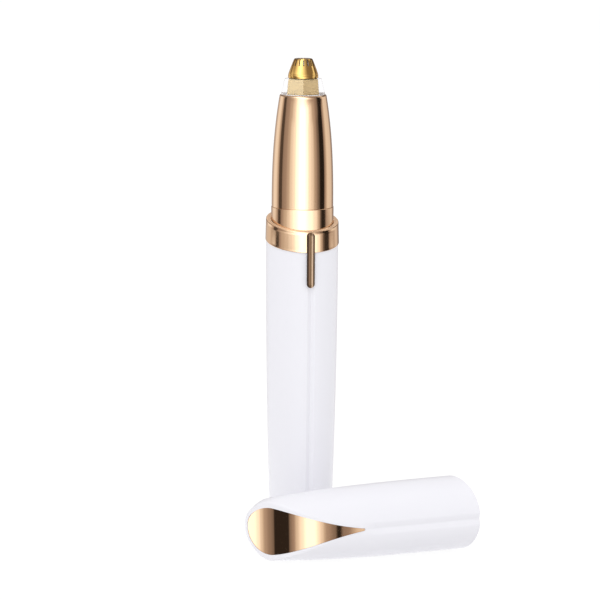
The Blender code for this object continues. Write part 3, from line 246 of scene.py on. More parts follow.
# grey and own light of the floor, first for light that falls on it, then as the lens sees it
FLOOR_SHADES = ((0.45, 0.45), (0.16, 0.89))
floor_mesh = bpy.data.meshes.new("studio_floor")
square = ((-1, -1), (1, -1), (1, 1), (-1, 1))
corners = [(x * FLOOR_HALF, y * FLOOR_HALF, -FLOOR_DROP) for x, y in square]
floor_mesh.from_pydata(corners, [], [(0, 1, 2, 3)])
floor = placed("studio_floor", floor_mesh)
floor.visible_glossy = False
pale = bpy.data.materials.new("pale_floor")
pale.use_nodes = True
tree = pale.node_tree
tree.nodes.clear()
ray = add_node(tree, "LightPath", {})
seen = maths(tree, "MAXIMUM", ray.outputs["Is Camera Ray"], ray.outputs["Is Transmission Ray"])
faces = {0: seen}
for number, (shade, strength) in enumerate(FLOOR_SHADES):
    matt = add_node(tree, "BsdfDiffuse", {"Color": (shade, shade, shade, 1)})
    glow = add_node(tree, "Emission", {"Strength": strength})
    faces[number + 1] = add_node(tree, "AddShader", {0: matt.outputs[0], 1: glow.outputs[0]}).outputs[0]
choice = add_node(tree, "MixShader", faces)
add_node(tree, "OutputMaterial", {0: choice.outputs[0]})
floor_mesh.materials.append(pale)


# Battery sleeve: the white lower shell, one deep moulded cup of glossy ABS. A crease runs down its
# front, the foot is rounded, and the rim is cut on a slant so that it meets the ring.
WELD_WITHIN = 2e-7


def as_points(*coordinates):
    """Points whose coordinates are the given arrays, all of one shape."""
    return np.stack(coordinates, axis=-1)


def closed_mesh(name, points, faces):
    """A mesh with points that fall together welded, no face without area, and all faces outwards."""
    mesh = bpy.data.meshes.new(name)
    mesh.from_pydata(points.reshape(-1, 3).tolist(), [], faces.reshape(-1, 4).tolist())
    shape = bmesh.new()
    shape.from_mesh(mesh)
    bmesh.ops.remove_doubles(shape, verts=shape.verts, dist=WELD_WITHIN)
    bmesh.ops.dissolve_degenerate(shape, edges=shape.edges, dist=WELD_WITHIN)
    loose = [edge for edge in shape.edges if not edge.link_faces]
    bmesh.ops.delete(shape, geom=loose, context="EDGES")
    bmesh.ops.recalc_face_normals(shape, faces=shape.faces)
    shape.to_mesh(mesh)
    shape.free()
    return mesh


def net(name, grid):
    """A mesh from a grid of points, rows by columns, closed round the columns."""
    index = np.arange(grid[..., 0].size).reshape(grid.shape[:2])
    after = np.roll(index, -1, axis=1)
    return closed_mesh(name, grid, as_points(index[:-1], after[:-1], after[1:], index[1:]))


def dress(name, mesh, material, body, slot, *replaced, sharp=32):
    """Puts a mesh, or a grid of points, into the scene as a piece on its body, in place of CAD nodes."""
    if isinstance(mesh, np.ndarray):
        mesh = net(name, mesh)
    mesh.shade_smooth()
    mesh.set_sharp_from_angle(angle=math.radians(sharp))
    mesh.materials.clear()
    mesh.materials.append(material)
    piece = placed(name, mesh)
    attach(piece, body)
    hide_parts(*replaced)
    return piece


def bezier(start, corner, end, t):
    """The point at t from 0 to 1 on the short curve from start to end that turns the corner."""
    return start * (1 - t) ** 2 + corner * 2 * t * (1 - t) + end * t**2


def rounded(points, radius, steps=4):
    """A profile of (radius, height) points whose corners are rounded, each by a short curve."""
    points = [np.array(point, float) for point in points]
    out = [points[0]]
    for before, corner, after in zip(points, points[1:], points[2:]):
        back, on = before - corner, after - corner
        reach = min(radius, 0.45 * np.linalg.norm(back), 0.45 * np.linalg.norm(on))
        a = corner + back / np.linalg.norm(back) * reach
        b = corner + on / np.linalg.norm(on) * reach
        for t in np.linspace(0, 1, steps + 1):
            out.append(bezier(a, corner, b, t))
    return np.array([*out, points[-1]])


def turn(profile, angles):
    """A grid of points: the profile of (radius, height) pairs turned to each angle from the front."""
    radius, height = np.asarray(profile, float).T
    across, forward = np.outer(radius, np.sin(angles)), np.outer(radius, np.cos(angles))
    return as_points(across, -forward, np.outer(height, np.ones(len(angles))))


def even_angles(count, crowd=0.0):
    """Angles round the axis from the front, closer together there when crowd is above 0."""
    t = np.arange(count) * math.tau / count
    return t - crowd * np.sin(t)


def grain_bump(tree, scale, height, tilt=0.0):
    """A fine bump in object space, for a moulded or plated skin.

    Tilt leans the shading upwards, or downwards below 0, as a wall's slight draft does.
    """
    where = add_node(tree, "TexCoord", {}).outputs["Object"]
    noise = add_node(tree, "TexNoise", {"Vector": where, "Scale": scale, "Detail": 2.0}).outputs["Fac"]
    bump = add_node(tree, "Bump", {"Strength": 1.0, "Distance": height, "Height": noise})
    if tilt:
        normal = add_node(tree, "NewGeometry", {}).outputs["Normal"]
        leaned = add_node(tree, "VectorMath", {0: normal, 1: (0, 0, tilt)}, operation="ADD")
        even = add_node(tree, "VectorMath", {0: leaned.outputs[0]}, operation="NORMALIZE")
        feed(tree, bump, {"Normal": even.outputs[0]})
    return bump.outputs["Normal"], noise


def skin_material(
    name, colour, shade, roughness, spread=0.04, cloud=60.0, grain=2500.0, height=4e-7, metal=0.0,
    shine=0.5, tilt=0.0,
):
    """A shader whose colour drifts between two near tones and whose roughness drifts with a fine grain."""
    material = bpy.data.materials.new(name)
    material.use_nodes = True
    tree = material.node_tree
    where = add_node(tree, "TexCoord", {}).outputs["Object"]
    drift = add_node(tree, "TexNoise", {"Vector": where, "Scale": cloud, "Detail": 3.0})
    tones = {"Factor": drift.outputs["Fac"], "A": (*colour, 1), "B": (*shade, 1)}
    tone = add_node(tree, "Mix", tones, data_type="RGBA")
    normal, grain_level = grain_bump(tree, grain, height, tilt)
    low, high = max(0.02, roughness - spread), roughness + spread
    rough = add_node(tree, "MapRange", {"Value": grain_level, "To Min": low, "To Max": high})
    feed(tree, tree.nodes["Principled BSDF"], {
        "Base Color": tone.outputs["Result"], "Roughness": rough.outputs[0], "Normal": normal,
        "Metallic": metal, "Specular IOR Level": shine,
    })
    return material


white_abs = skin_material("white_abs", (0.845, 0.84, 0.885), (0.83, 0.825, 0.872), 0.36, shine=0.22)

SLEEVE_LENGTH = 0.07915
SLEEVE_TOP = 0.0095
SLEEVE_TAPER = 0.0014
SLEEVE_WALL = 0.00105
SLEEVE_SLANT_RUN = 0.016
FOOT_ROUND = 0.0024
FOOT_THICKNESS = 0.0016
RIM_SLOPE = math.tan(math.radians(12))
RIM_ROUND = 0.00016
CREASE_DEPTH = 0.0005
CREASE_HALF = 0.0016
SLEEVE_CREASE_HALF = 0.00105
SLEEVE_CREASE_TURN = math.radians(2)
CREASE_SOFTNESS = 0.006
FLOOR_FILLET = 0.001
SOLE_DISH = 0.00012
SOLE_EDGE = 0.00002
GATE_RADIUS = 0.0012
GATE_SINK = 0.0001


def sleeve_radius(height):
    """Outer radius: it narrows towards the foot with the square of the distance from the rim."""
    return SLEEVE_TOP - SLEEVE_TAPER * ((SLEEVE_LENGTH - height) / SLEEVE_LENGTH) ** 2


def valley(across, half=CREASE_HALF):
    """Depth of the crease, about 1 at its middle and 0 from its half width on, its bottom softened.

    It is 1.1 times the power 1.08 of 1 less the distance from the middle as a share of the half width.
    """
    share = np.sqrt((across / half) ** 2 + CREASE_SOFTNESS)
    return 1.1 * np.clip(1 - share, 0, None) ** 1.08


def lean(points, full_at, zero_at, slope=RIM_SLOPE):
    """Raises points by their y times a slope, fully at one height and not at all at the other."""
    part = np.clip((points[..., 2] - zero_at) / (full_at - zero_at), 0, 1)
    points[..., 2] += points[..., 1] * slope * part
    return points


heights = SLEEVE_LENGTH - np.linspace(0, 1, 60) * (SLEEVE_LENGTH - FOOT_ROUND)
side = as_points(sleeve_radius(heights), heights)
bend = np.linspace(0, math.pi / 2, 13)[1:]
foot_radii = sleeve_radius(FOOT_ROUND) - FOOT_ROUND * (1 - np.cos(bend))
foot = as_points(foot_radii, FOOT_ROUND * (1 - np.sin(bend)))
sole_edge = foot[-1, 0]
# the sole is dished inside its foot ring, with the mark of the moulding gate in its middle
sole = np.array([
    [0.92 * sole_edge, 0], [0.9 * sole_edge, SOLE_EDGE], [0.88 * sole_edge, SOLE_DISH],
    [GATE_RADIUS, SOLE_DISH], [GATE_RADIUS - GATE_SINK, SOLE_DISH + GATE_SINK], [0, SOLE_DISH + GATE_SINK],
])
bore_heights = np.linspace(FOOT_THICKNESS + FLOOR_FILLET, SLEEVE_LENGTH, 24)
bore = as_points(sleeve_radius(bore_heights) - SLEEVE_WALL, bore_heights)
bore_floor = np.array([[0, FOOT_THICKNESS], [bore[0, 0] - FLOOR_FILLET, FOOT_THICKNESS]])
lip = rounded([bore[-2], bore[-1], side[0], side[1]], RIM_ROUND)[1:-1]
sleeve_profile = np.concatenate([bore_floor, bore[:-1], lip, side[1:], foot, sole])
angles = even_angles(288, 0.72)
points = turn(sleeve_profile, angles)
radial = np.hypot(points[..., 0], points[..., 1])
# the crease is pressed into the outer half of the wall and fades out over the foot
arc = np.abs(np.arctan2(points[..., 0], -points[..., 1]) - SLEEVE_CREASE_TURN) * radial
strength = np.clip((points[..., 2] - FOOT_ROUND / 2) / FOOT_ROUND, 0, 1)
on_outside = radial > sleeve_radius(points[..., 2]) - 0.55 * SLEEVE_WALL
sink = CREASE_DEPTH * valley(arc, SLEEVE_CREASE_HALF) * strength * on_outside
points[..., :2] *= (1 - sink / np.maximum(radial, 1e-6))[..., None]
points = lean(points, SLEEVE_LENGTH, SLEEVE_LENGTH - SLEEVE_SLANT_RUN)
dress("sleeve_shell", points, white_abs, "battery_sleeve", "white_plastic", "battery_sleeve", sharp=40)


# Middle ring: the broad rose-gold band at the joint, plated ABS. Its edges are slanted like the
# rims that it meets, and a window at the front lets the switch post through.
def pierced(name, outer, inner, windows, rows, joined=(True, True)):
    """A wall between two grids of equal size, with windows cut through it and their sides closed.

    windows are (first, last) columns and rows a (first, last) pair; joined tells whether the two walls
    meet at the first row and at the last.
    """
    count, columns = outer.shape[:2]
    index = np.arange(count * columns).reshape(count, columns)
    low, high = rows
    hole = np.zeros((count - 1, columns), bool)
    for first, last in windows:
        hole[low:high, np.arange(first, last) % columns] = True
    after = np.roll(index, -1, axis=1)
    faces = as_points(index[:-1], after[:-1], after[1:], index[1:])[~hole]
    shift = count * columns
    runs = []
    for first, last in windows:
        runs += [index[low : high + 1, column % columns] for column in (first, last)]
        runs += [index[row, np.arange(first, last + 1) % columns] for row in rows]
    runs += [np.append(index[end], index[end, 0]) for end, wanted in zip((0, -1), joined) if wanted]
    sides = [as_points(run[:-1], run[1:], run[1:] + shift, run[:-1] + shift) for run in runs]
    everything = np.concatenate([outer, inner])
    return closed_mesh(name, everything, np.concatenate([faces, faces[:, ::-1] + shift, *sides]))


def quarter(radius, level, size, inwards=-1, steps=6):
    """A quarter round between a flat end at a level and a side at a radius, from the end outwards.

    With t from 0 to a right angle it lies size (1 - sin t) in from the side and size (1 - cos t)
    from the end; inwards is -1 where the wall lies below the end and 1 where it lies above.
    """
    t = np.linspace(0, math.pi / 2, steps)
    return as_points(radius - size * (1 - np.sin(t)), level + inwards * size * (1 - np.cos(t)))


def refinish(mesh, material, chosen):
    """Gives another material to the faces that chosen picks."""
    mesh.materials.append(material)
    for face in mesh.polygons:
        if chosen(face):
            face.material_index = len(mesh.materials) - 1


def plating(name, roughness=0.07, tilt=0.0, metal=1.0):
    """Rose-gold plating: polished, its shading leaned by the wall's draft."""
    return skin_material(
        name, (0.90, 0.64, 0.43), (0.885, 0.625, 0.415), roughness, spread=0.02, cloud=90, grain=1400,
        height=1.2e-7, metal=metal, tilt=tilt,
    )


ring_plating = plating("ring_plating", tilt=-0.058)
satin_plating = plating("satin_plating", roughness=0.42, metal=0.4)
RING_BOTTOM = 0.0792
RING_TOP = 0.0846
RING_TOP_RADIUS = 0.00956
RING_BOTTOM_RADIUS = 0.0097
RING_BORE = 0.00824
RING_EDGE = 0.00016
RING_FOOT = 0.00003
BORE_CHAMFER = 0.0001
# a row of points this far past a small rounding keeps the shading of the wall beside it even
HOLD = 0.00004
WINDOW_COLUMNS = 8
WINDOW_HALF = 0.0008
WINDOW_LOW = 0.07785
WINDOW_HIGH = 0.08145


def window_angles(radius, count=248, crowd=0.5):
    """Angles round the axis, closer together at the front; the first ones span the window exactly."""
    edge = math.asin(WINDOW_HALF / radius)
    t = np.linspace(0, 1, count)[1:-1]
    outside = edge + (math.tau - 2 * edge) * (t - crowd * np.sin(math.tau * t) / math.tau)
    return np.concatenate([np.linspace(-edge, edge, WINDOW_COLUMNS + 1), outside])


front_lean = RING_BOTTOM_RADIUS * RIM_SLOPE
angles = window_angles(RING_TOP_RADIUS)
window_rows = np.linspace(WINDOW_HIGH + front_lean, WINDOW_LOW + front_lean, 9)


def ring_side(height):
    """Radius of the ring's outer side: it widens a little towards the sleeve."""
    share = (RING_TOP - height) / (RING_TOP - RING_BOTTOM)
    return RING_TOP_RADIUS + (RING_BOTTOM_RADIUS - RING_TOP_RADIUS) * share


top_corner = quarter(RING_TOP_RADIUS, RING_TOP, RING_EDGE)
bottom_corner = quarter(RING_BOTTOM_RADIUS, RING_BOTTOM, RING_FOOT, inwards=1)[::-1]
side = np.concatenate([[RING_TOP - RING_EDGE - HOLD], window_rows, [RING_BOTTOM + RING_FOOT + HOLD]])
outer_side = as_points(ring_side(side), side)
bore_mouth = RING_BORE + BORE_CHAMFER
ring_outer = np.concatenate(
    [[[bore_mouth, RING_TOP]], top_corner, outer_side, bottom_corner, [[bore_mouth, RING_BOTTOM]]]
)
first_row = len(top_corner) + 2
ring_inner = ring_outer.copy()
ring_inner[:, 0] = RING_BORE
ring_inner[:first_row, 1] = RING_TOP - BORE_CHAMFER
ring_inner[-first_row:, 1] = RING_BOTTOM + BORE_CHAMFER
walls = turn(ring_outer, angles), turn(ring_inner, angles)
for wall in walls:
    wall[..., 2] += wall[..., 1] * RIM_SLOPE
window_span = (first_row, first_row + len(window_rows) - 1)
ring_mesh = pierced("ring_band", *walls, [(0, WINDOW_COLUMNS)], window_span)
dress("ring_band", ring_mesh, ring_plating, "core", "rose_gold", "middle_ring")
# the slanted top face is satin
refinish(ring_mesh, satin_plating, lambda face: face.normal.z > 0.9)

# Collar: the short straight rose-gold tube that the cap slides over. It reaches down inside the
# ring, where the switch window goes through it too.
collar_plating = plating("collar_plating", tilt=-0.016)
COLLAR_RADIUS = 0.00822
COLLAR_BORE = 0.00705
COLLAR_TOP = 0.0882
COLLAR_BOTTOM = 0.07715
COLLAR_EDGE = 0.00012
angles = window_angles(COLLAR_RADIUS)
window_rows = np.linspace(WINDOW_HIGH, WINDOW_LOW, 9)
top_corner = quarter(COLLAR_RADIUS, COLLAR_TOP, COLLAR_EDGE)
above = np.linspace(COLLAR_TOP - COLLAR_EDGE, WINDOW_HIGH, 6)[1:-1]
side = np.concatenate([[COLLAR_TOP - COLLAR_EDGE - HOLD], above, window_rows, [COLLAR_BOTTOM + BORE_CHAMFER]])
collar_outer = np.concatenate([
    [[COLLAR_BORE + BORE_CHAMFER, COLLAR_TOP]], top_corner,
    as_points(np.full(len(side), COLLAR_RADIUS), side), [[COLLAR_RADIUS - BORE_CHAMFER, COLLAR_BOTTOM]],
])
collar_inner = collar_outer.copy()
collar_inner[:, 0] = COLLAR_BORE
collar_inner[: len(top_corner), 1] -= BORE_CHAMFER
first_row = len(top_corner) + len(above) + 2
window_span = (first_row, first_row + len(window_rows) - 1)
walls = turn(collar_outer, angles), turn(collar_inner, angles)
collar_mesh = pierced("collar_tube", *walls, [(0, WINDOW_COLUMNS)], window_span)
dress("collar_tube", collar_mesh, collar_plating, "core", "rose_gold", "collar")

# Head cone: a thin rose-gold shell, drawn in towards the top, its upper edge rolled over. The
# cutting head plugs into it.
rose_plating = plating("rose_gold_plating")
CONE_BASE_RADIUS = 0.00811
CONE_BASE = 0.08821
CONE_LENGTH = 0.02949
CONE_TAPER = 0.002
CONE_WALL = 0.001
CONE_BORE = 0.0052
CONE_EDGE = 0.0004


def cone_radius(height):
    """Outer radius: nearly straight below, drawn in with the power 2.5 of the height."""
    return CONE_BASE_RADIUS - CONE_TAPER * np.clip((height - CONE_BASE) / CONE_LENGTH, 0, None) ** 2.5


cone_top = CONE_BASE + CONE_LENGTH
heights = np.append(np.linspace(cone_top - CONE_EDGE, CONE_BASE + 2 * HOLD, 64), CONE_BASE + HOLD)
outer = as_points(cone_radius(heights), heights)
roll = quarter(outer[0, 0], cone_top, CONE_EDGE, steps=12)
heights = np.linspace(CONE_BASE, cone_top - BORE_CHAMFER, 20)
inner = as_points(np.maximum(CONE_BORE, cone_radius(heights) - CONE_WALL), heights)
foot_edge = [[cone_radius(CONE_BASE) - HOLD, CONE_BASE]]
cone_profile = np.concatenate([roll[:-1], outer, foot_edge, inner])
cone_points = turn(np.concatenate([cone_profile, cone_profile[:1]]), even_angles(224))
dress("cone_shell", cone_points, rose_plating, "core", "rose_gold", "head_cone")

# Clear ring: the see-through acrylic ring at the foot of the cutting head. It passes the light of
# the two lamps below it, and has a six-sided pocket for the base.
clear_acrylic = bpy.data.materials.new("clear_acrylic")
clear_acrylic.use_nodes = True
tree = clear_acrylic.node_tree
normal, level = grain_bump(tree, 900, 5e-8)
rough = add_node(tree, "MapRange", {"Value": level, "To Min": 0.015, "To Max": 0.045})
feed(tree, tree.nodes["Principled BSDF"], {
    "Base Color": (0.98, 0.972, 0.99, 1), "Roughness": rough.outputs[0], "Normal": normal,
    "Transmission Weight": 1.0, "IOR": 1.04,
})

HEAD_TURN = math.radians(-13)
HEX_BOTTOM = 0.11784
HEX_TOP = 0.1219
HEX_BOTTOM_RADIUS = 0.0047
HEX_TOP_RADIUS = 0.0043
LENS_BOTTOM = 0.11774
LENS_BOTTOM_RADIUS = 0.0058
LENS_TOP_RADIUS = 0.0048
SKIRT_RADIUS = 0.00514
SKIRT_BORE = 0.00435
SKIRT_BOTTOM = 0.1145
LENS_EDGE = 0.00014
FROSTED_ABOVE = 0.0002


def ring_row(reach, angles, height):
    """A row of points round the axis: reach is the distance from it, one number or one for each angle."""
    return as_points(reach * np.sin(angles), -reach * np.cos(angles), np.full(len(angles), height))


def hexagon_rows(table):
    """Rows of points round the head's axis from (radius, height, 1 if six-sided or 0 if round).

    A corner of the hexagon lies in front, turned with the head. Where its corner radius is 1, its side
    lies at cos 30 over the cosine of the angle from the middle of the nearest side.
    """
    off_middle = np.mod(head_angles - HEAD_TURN, math.pi / 3) - math.pi / 6
    six = math.cos(math.pi / 6) / np.cos(off_middle)
    return np.array([ring_row(radius * six**sided, head_angles, height) for radius, height, sided in table])


head_angles = HEAD_TURN + even_angles(240)
lens_outer = rounded([
    (HEX_TOP_RADIUS, HEX_TOP), (LENS_TOP_RADIUS, HEX_TOP), (LENS_BOTTOM_RADIUS, LENS_BOTTOM),
    (SKIRT_RADIUS, LENS_BOTTOM), (SKIRT_RADIUS, SKIRT_BOTTOM), (SKIRT_BORE, SKIRT_BOTTOM),
], LENS_EDGE)[1:-1]
grid = turn(lens_outer, head_angles)
# the bore of its skirt, then the six-sided pocket, a little wider than the base
pocket = hexagon_rows([
    (SKIRT_BORE, SKIRT_BOTTOM + 0.00006, 0), (SKIRT_BORE, HEX_BOTTOM - 0.00006, 0),
    (HEX_BOTTOM_RADIUS + 0.00017, HEX_BOTTOM - 0.00005, 1), (HEX_TOP_RADIUS + 0.00015, HEX_TOP - 0.00004, 1),
])
grid = np.concatenate([grid, pocket, grid[:1]])
clear_collar = dress("clear_collar", grid, clear_acrylic, "cutting_head", "clear_plastic", "clear_ring")
clear_collar.visible_shadow = False
# its foot inside the cone is frosted, to spread the light of the lamps
milky = skin_material("milky_acrylic", (0.93, 0.925, 0.94), (0.91, 0.905, 0.92), 0.5)
refinish(clear_collar.data, milky, lambda face: face.center.z < LENS_BOTTOM + FROSTED_ABOVE)

# Hexagonal base: cream moulded plastic inside the clear ring. Its round spigot plugs into the
# cone, and a brass bush runs through it.
cream_plastic = skin_material(
    "cream_plastic", (0.462, 0.343, 0.168), (0.448, 0.329, 0.156), 0.42, cloud=260, grain=3000, height=8e-7
)
BUSH_BORE = 0.0018
SPIGOT_RADIUS = 0.00405
SPIGOT_BOTTOM = 0.1133
# from the bush's bore over the top, down the six sides with their softened edges, and round the spigot
base_points = hexagon_rows([
    (BUSH_BORE, HEX_TOP - 0.0001, 0), (BUSH_BORE + 0.0001, HEX_TOP, 0),
    (HEX_TOP_RADIUS - 0.00014, HEX_TOP, 1), (HEX_TOP_RADIUS - 0.00004, HEX_TOP - 0.00004, 1),
    (HEX_TOP_RADIUS + 0.00002, HEX_TOP - 0.00014, 1), (HEX_BOTTOM_RADIUS - 0.00002, HEX_BOTTOM + 0.00012, 1),
    (HEX_BOTTOM_RADIUS - 0.0001, HEX_BOTTOM, 1), (SPIGOT_RADIUS, HEX_BOTTOM, 0),
    (SPIGOT_RADIUS, SPIGOT_BOTTOM + 0.0003, 0), (SPIGOT_RADIUS - 0.0001, SPIGOT_BOTTOM + 0.0001, 0),
    (SPIGOT_RADIUS - 0.0003, SPIGOT_BOTTOM, 0), (BUSH_BORE, SPIGOT_BOTTOM, 0),
    (BUSH_BORE, HEX_TOP - 0.0001, 0),
])
hexagon_base = dress(
    "hexagon_base", base_points, cream_plastic, "cutting_head", "cream_plastic", "head_base", sharp=25
)
# a small cool lamp from the left reaches through the clear ring and lights one side of the hexagon
head_light = aimed_lamp("head_light", (-0.56, -0.12, 0.2), (0, 0, HEX_TOP), 0.12, 3.6, (0.52, 0.66, 1.0))
only_base = bpy.data.collections.new("head_light_receivers")
only_base.objects.link(hexagon_base)
head_light.light_linking.receiver_collection = only_base

# Slotted tip: a thin crown of yellow-gold plated steel. Sixteen slots run over its top edge, and
# the turning cutter behind them trims the hair that they let in.
def gold_plating(name, tilt=0.0):
    """Yellow-gold plating on steel."""
    return skin_material(
        name, (0.89, 0.59, 0.21), (0.84, 0.53, 0.16), 0.13, spread=0.03, cloud=500, grain=5000,
        height=1.5e-7, metal=1.0, tilt=tilt,
    )


gold_steel = gold_plating("yellow_gold_plating")
gold_band = gold_plating("yellow_gold_band", tilt=0.165)
bare_steel = skin_material("bare_steel", (0.60, 0.60, 0.61), (0.54, 0.54, 0.55), 0.3, cloud=400, metal=1.0)
TIP_RADIUS = 0.00398
TIP_BAND = 0.0009
TIP_BOTTOM = 0.12205
TIP_TOP = 0.1271
TIP_TOP_RADIUS = 0.00238
TIP_EDGE = 0.0002
TIP_WALL = 0.0004
TIP_CORNER_TURN = 0.42 * math.pi
SLOTS = 16
SLOT_HALF = 0.00015
SLOT_DEPTH = 0.0018
HUB_RADIUS = 0.0012
TIP_DRAFT = 0.00005
TIP_LIFT = 0.00005
FLAT_ROWS, CORNER_ROWS, SLOT_ROWS = 6, 5, 9


def tip_radius(height):
    """Outer radius: a band with a slight draft, then a nearly straight taper to the flat top."""
    share = np.clip((height - TIP_BOTTOM - TIP_BAND) / (TIP_TOP - TIP_BOTTOM - TIP_BAND), 0, 1)
    band = TIP_RADIUS - TIP_DRAFT * np.clip((height - TIP_BOTTOM) / TIP_BAND, 0, 1)
    return band - (TIP_RADIUS - TIP_DRAFT - TIP_TOP_RADIUS) * share**1.1


def crown_profile(inset):
    """The crown's wall moved in by inset: hub, top edge, slotted side, plain side and band."""
    top = TIP_TOP - inset
    edge = tip_radius(TIP_TOP) - inset
    flat = [(radius, top) for radius in np.linspace(HUB_RADIUS, edge - TIP_EDGE, FLAT_ROWS)]
    bend = np.linspace(0, TIP_CORNER_TURN, CORNER_ROWS + 1)[1:]
    corner = [(edge - TIP_EDGE + TIP_EDGE * math.sin(a), top - TIP_EDGE * (1 - math.cos(a))) for a in bend]
    slot_end, band_top = TIP_TOP - SLOT_DEPTH, TIP_BOTTOM + TIP_BAND
    heights = np.concatenate([
        np.linspace(corner[-1][1] - 0.0001, slot_end, SLOT_ROWS), np.linspace(slot_end, band_top, 14)[1:],
        [TIP_BOTTOM + TIP_BAND / 2, TIP_BOTTOM + TIP_LIFT],
    ])
    side = [(tip_radius(height) - inset, height) for height in heights]
    return np.array([(0.0, top), (HUB_RADIUS / 2, top), *flat, *corner, *side])


pitch = math.tau / SLOTS
per_slot, per_tooth = 4, 12


def crown_grid(profile):
    """The crown's points: columns keep to the parallel sides of each slot and spread over each tooth."""
    rows = []
    for radius, height in profile:
        half = math.asin(min(0.95, SLOT_HALF / max(radius, HUB_RADIUS)))
        columns = []
        for number in range(SLOTS):
            middle = pitch * (number + 0.5) + math.pi / 2
            columns.append(middle + np.linspace(-half, half, per_slot, endpoint=False))
            columns.append(middle + half + np.linspace(0, pitch - 2 * half, per_tooth, endpoint=False))
        rows.append(ring_row(radius, np.concatenate(columns), height))
    return np.array(rows)


def is_inside(face):
    """Whether a face of the crown looks inwards or down."""
    return face.center.x * face.normal.x + face.center.y * face.normal.y < 0 or face.normal.z < -0.5


step = per_slot + per_tooth
windows = [(number * step, number * step + per_slot) for number in range(SLOTS)]
# the slots run from the hub's edge, the third row, to where the plain side begins
slot_rows = (2, 1 + FLAT_ROWS + CORNER_ROWS + SLOT_ROWS)
walls = crown_grid(crown_profile(0)), crown_grid(crown_profile(TIP_WALL))
crown = pierced("slotted_crown", *walls, windows, slot_rows, joined=(False, True))
dress("slotted_crown", crown, gold_steel, "cutting_head", "yellow_gold", "slotted_tip", sharp=40)
# the inside is not plated, and the band round the foot is a face of its own
refinish(crown, bare_steel, is_inside)
refinish(crown, gold_band, lambda face: not is_inside(face) and face.center.z < TIP_BOTTOM + TIP_BAND)

# Switch bar: the slim slider over the ring, a metal-plated pill with a domed face. A post behind
# it goes through the window.
bar_plating_with_painted_light = skin_material(
    "switch_plating_with_painted_light", (0.74, 0.45, 0.32), (0.70, 0.42, 0.29), 0.34, spread=0.03, cloud=300, grain=3000,
    height=2e-7, metal=1.0,
)
BAR_HALF = 0.00105
BAR_TOP = 0.08245
BAR_LENGTH = 0.0146
BAR_BACK = -0.00975
BAR_FRONT = -0.01055
BAR_DOME = 0.00055
POST_HALF = 0.0005
POST_LOW = 0.07815
POST_HIGH = 0.07915
POST_END = -0.0056
POST_SINK = 0.00015
BACK_EDGE = 0.0001
# painted light across the bar's width: painted shade darkens the long edges, and a painted highlight stripe
# lies right of the middle
BAR_PAINTED_LIGHT_TONES = [
    (0, (0.09, 0.06, 0.045)), (0.12, (0.08, 0.05, 0.032)), (0.24, (0.155, 0.094, 0.06)),
    (0.47, (0.15, 0.094, 0.05)), (0.54, (0.50, 0.35, 0.23)), (0.68, (0.95, 0.72, 0.53)),
    (0.76, (0.36, 0.25, 0.17)), (0.88, (0.2, 0.13, 0.08)), (1, (0.12, 0.08, 0.045)),
]
# the bar's base colour is the painted shade and painted highlight, laid out by its width
tree = bar_plating_with_painted_light.node_tree
across = add_node(tree, "SeparateXYZ", {0: add_node(tree, "TexCoord", {}).outputs["Object"]}).outputs["X"]
width = add_node(tree, "MapRange", {"Value": across, "From Min": -BAR_HALF, "From Max": BAR_HALF})
feed(tree, tree.nodes["Principled BSDF"], {"Base Color": ramp(tree, width.outputs[0], BAR_PAINTED_LIGHT_TONES)})


def pill(shrink, count=24):
    """Outline of the bar as (x, z) points, a long slot shape, smaller all round by shrink."""
    half = BAR_HALF - shrink
    a = np.linspace(0, math.pi, count)
    upper = as_points(half * np.cos(a), BAR_TOP - BAR_HALF + half * np.sin(a))
    lower = as_points(-half * np.cos(a), BAR_TOP - BAR_LENGTH + BAR_HALF - half * np.sin(a))
    return np.concatenate([upper, lower])


# the back with its softened edge, then the domed front
outlines = [(BAR_HALF - 0.00015, BAR_BACK), (BACK_EDGE, BAR_BACK), (0.0, BAR_BACK - BACK_EDGE)]
for a in np.linspace(0, math.pi / 2, 15)[:-1]:
    outlines.append((BAR_HALF * (1 - math.cos(a)), BAR_FRONT + BAR_DOME * (1 - math.sin(a))))
grid = []
for shrink, y in outlines:
    x, z = pill(shrink).T
    grid.append(as_points(x, np.full(len(x), y), z))
back, front = (row * (0, 1, 1) for row in (grid[0], grid[-1]))
bar_mesh = net("switch_slider", np.array([back, *grid, front]))
post_middle = (0, (POST_END + BAR_BACK - POST_SINK) / 2, (POST_LOW + POST_HIGH) / 2)
post_size = (2 * POST_HALF, POST_END - BAR_BACK + POST_SINK, POST_HIGH - POST_LOW, 1)
shape = bmesh.new()
shape.from_mesh(bar_mesh)
post = Matrix.Translation(post_middle) @ Matrix.Diagonal(post_size)
bmesh.ops.create_cube(shape, size=1.0, matrix=post)
shape.to_mesh(bar_mesh)
shape.free()
slider = dress("switch_slider", bar_mesh, bar_plating_with_painted_light, "switch", "rose_gold", "switch_bar")
slider.visible_shadow = False

# Cap: a white moulded cover, modelled as worn and then laid down. Its closed end is scooped away
# on a long curve, the scoop's edge is rounded, and a teardrop inlay is let into it.
CAP_RIM = 0.085
CAP_LENGTH = 0.0554
CAP_SLOPE = math.tan(math.radians(19.5))
CAP_RIM_RADIUS = 0.0096
CAP_TAPER = 0.002
CAP_NOSE = 0.0045
NOSE_DRAW = 0.36
CAP_WALL = 0.001
CAP_SLANT_RUN = 0.014
CAP_HEADROOM = 0.0055
SCOOP_LENGTH = 0.0308
LONG_POWER = 3.2
DEEP_POWER = 2.2
LIP_ROUND = 0.00028
INLAY_SHARE = 0.81
INLAY_BACK_LIP = 0.0019
INLAY_INSET = 0.0001
INLAY_GAP = 0.00005
RECESS_DEPTH = 0.0005
RECESS_FROM = 0.0003
RECESS_SOFTNESS = 0.0006
FACE_SOFTNESS = 0.00006
FACE_SOFT_OVER = 0.003
CREASE_END = 0.005
CREASE_FADE = 0.004
ROOF_BELOW_SCOOP = 0.002
RIM_EDGE = 0.00016
ROOF_THICKNESS = 0.0013
CAP_PLACE = (0.0106, -0.0284)
CAP_TURN = math.radians(5)
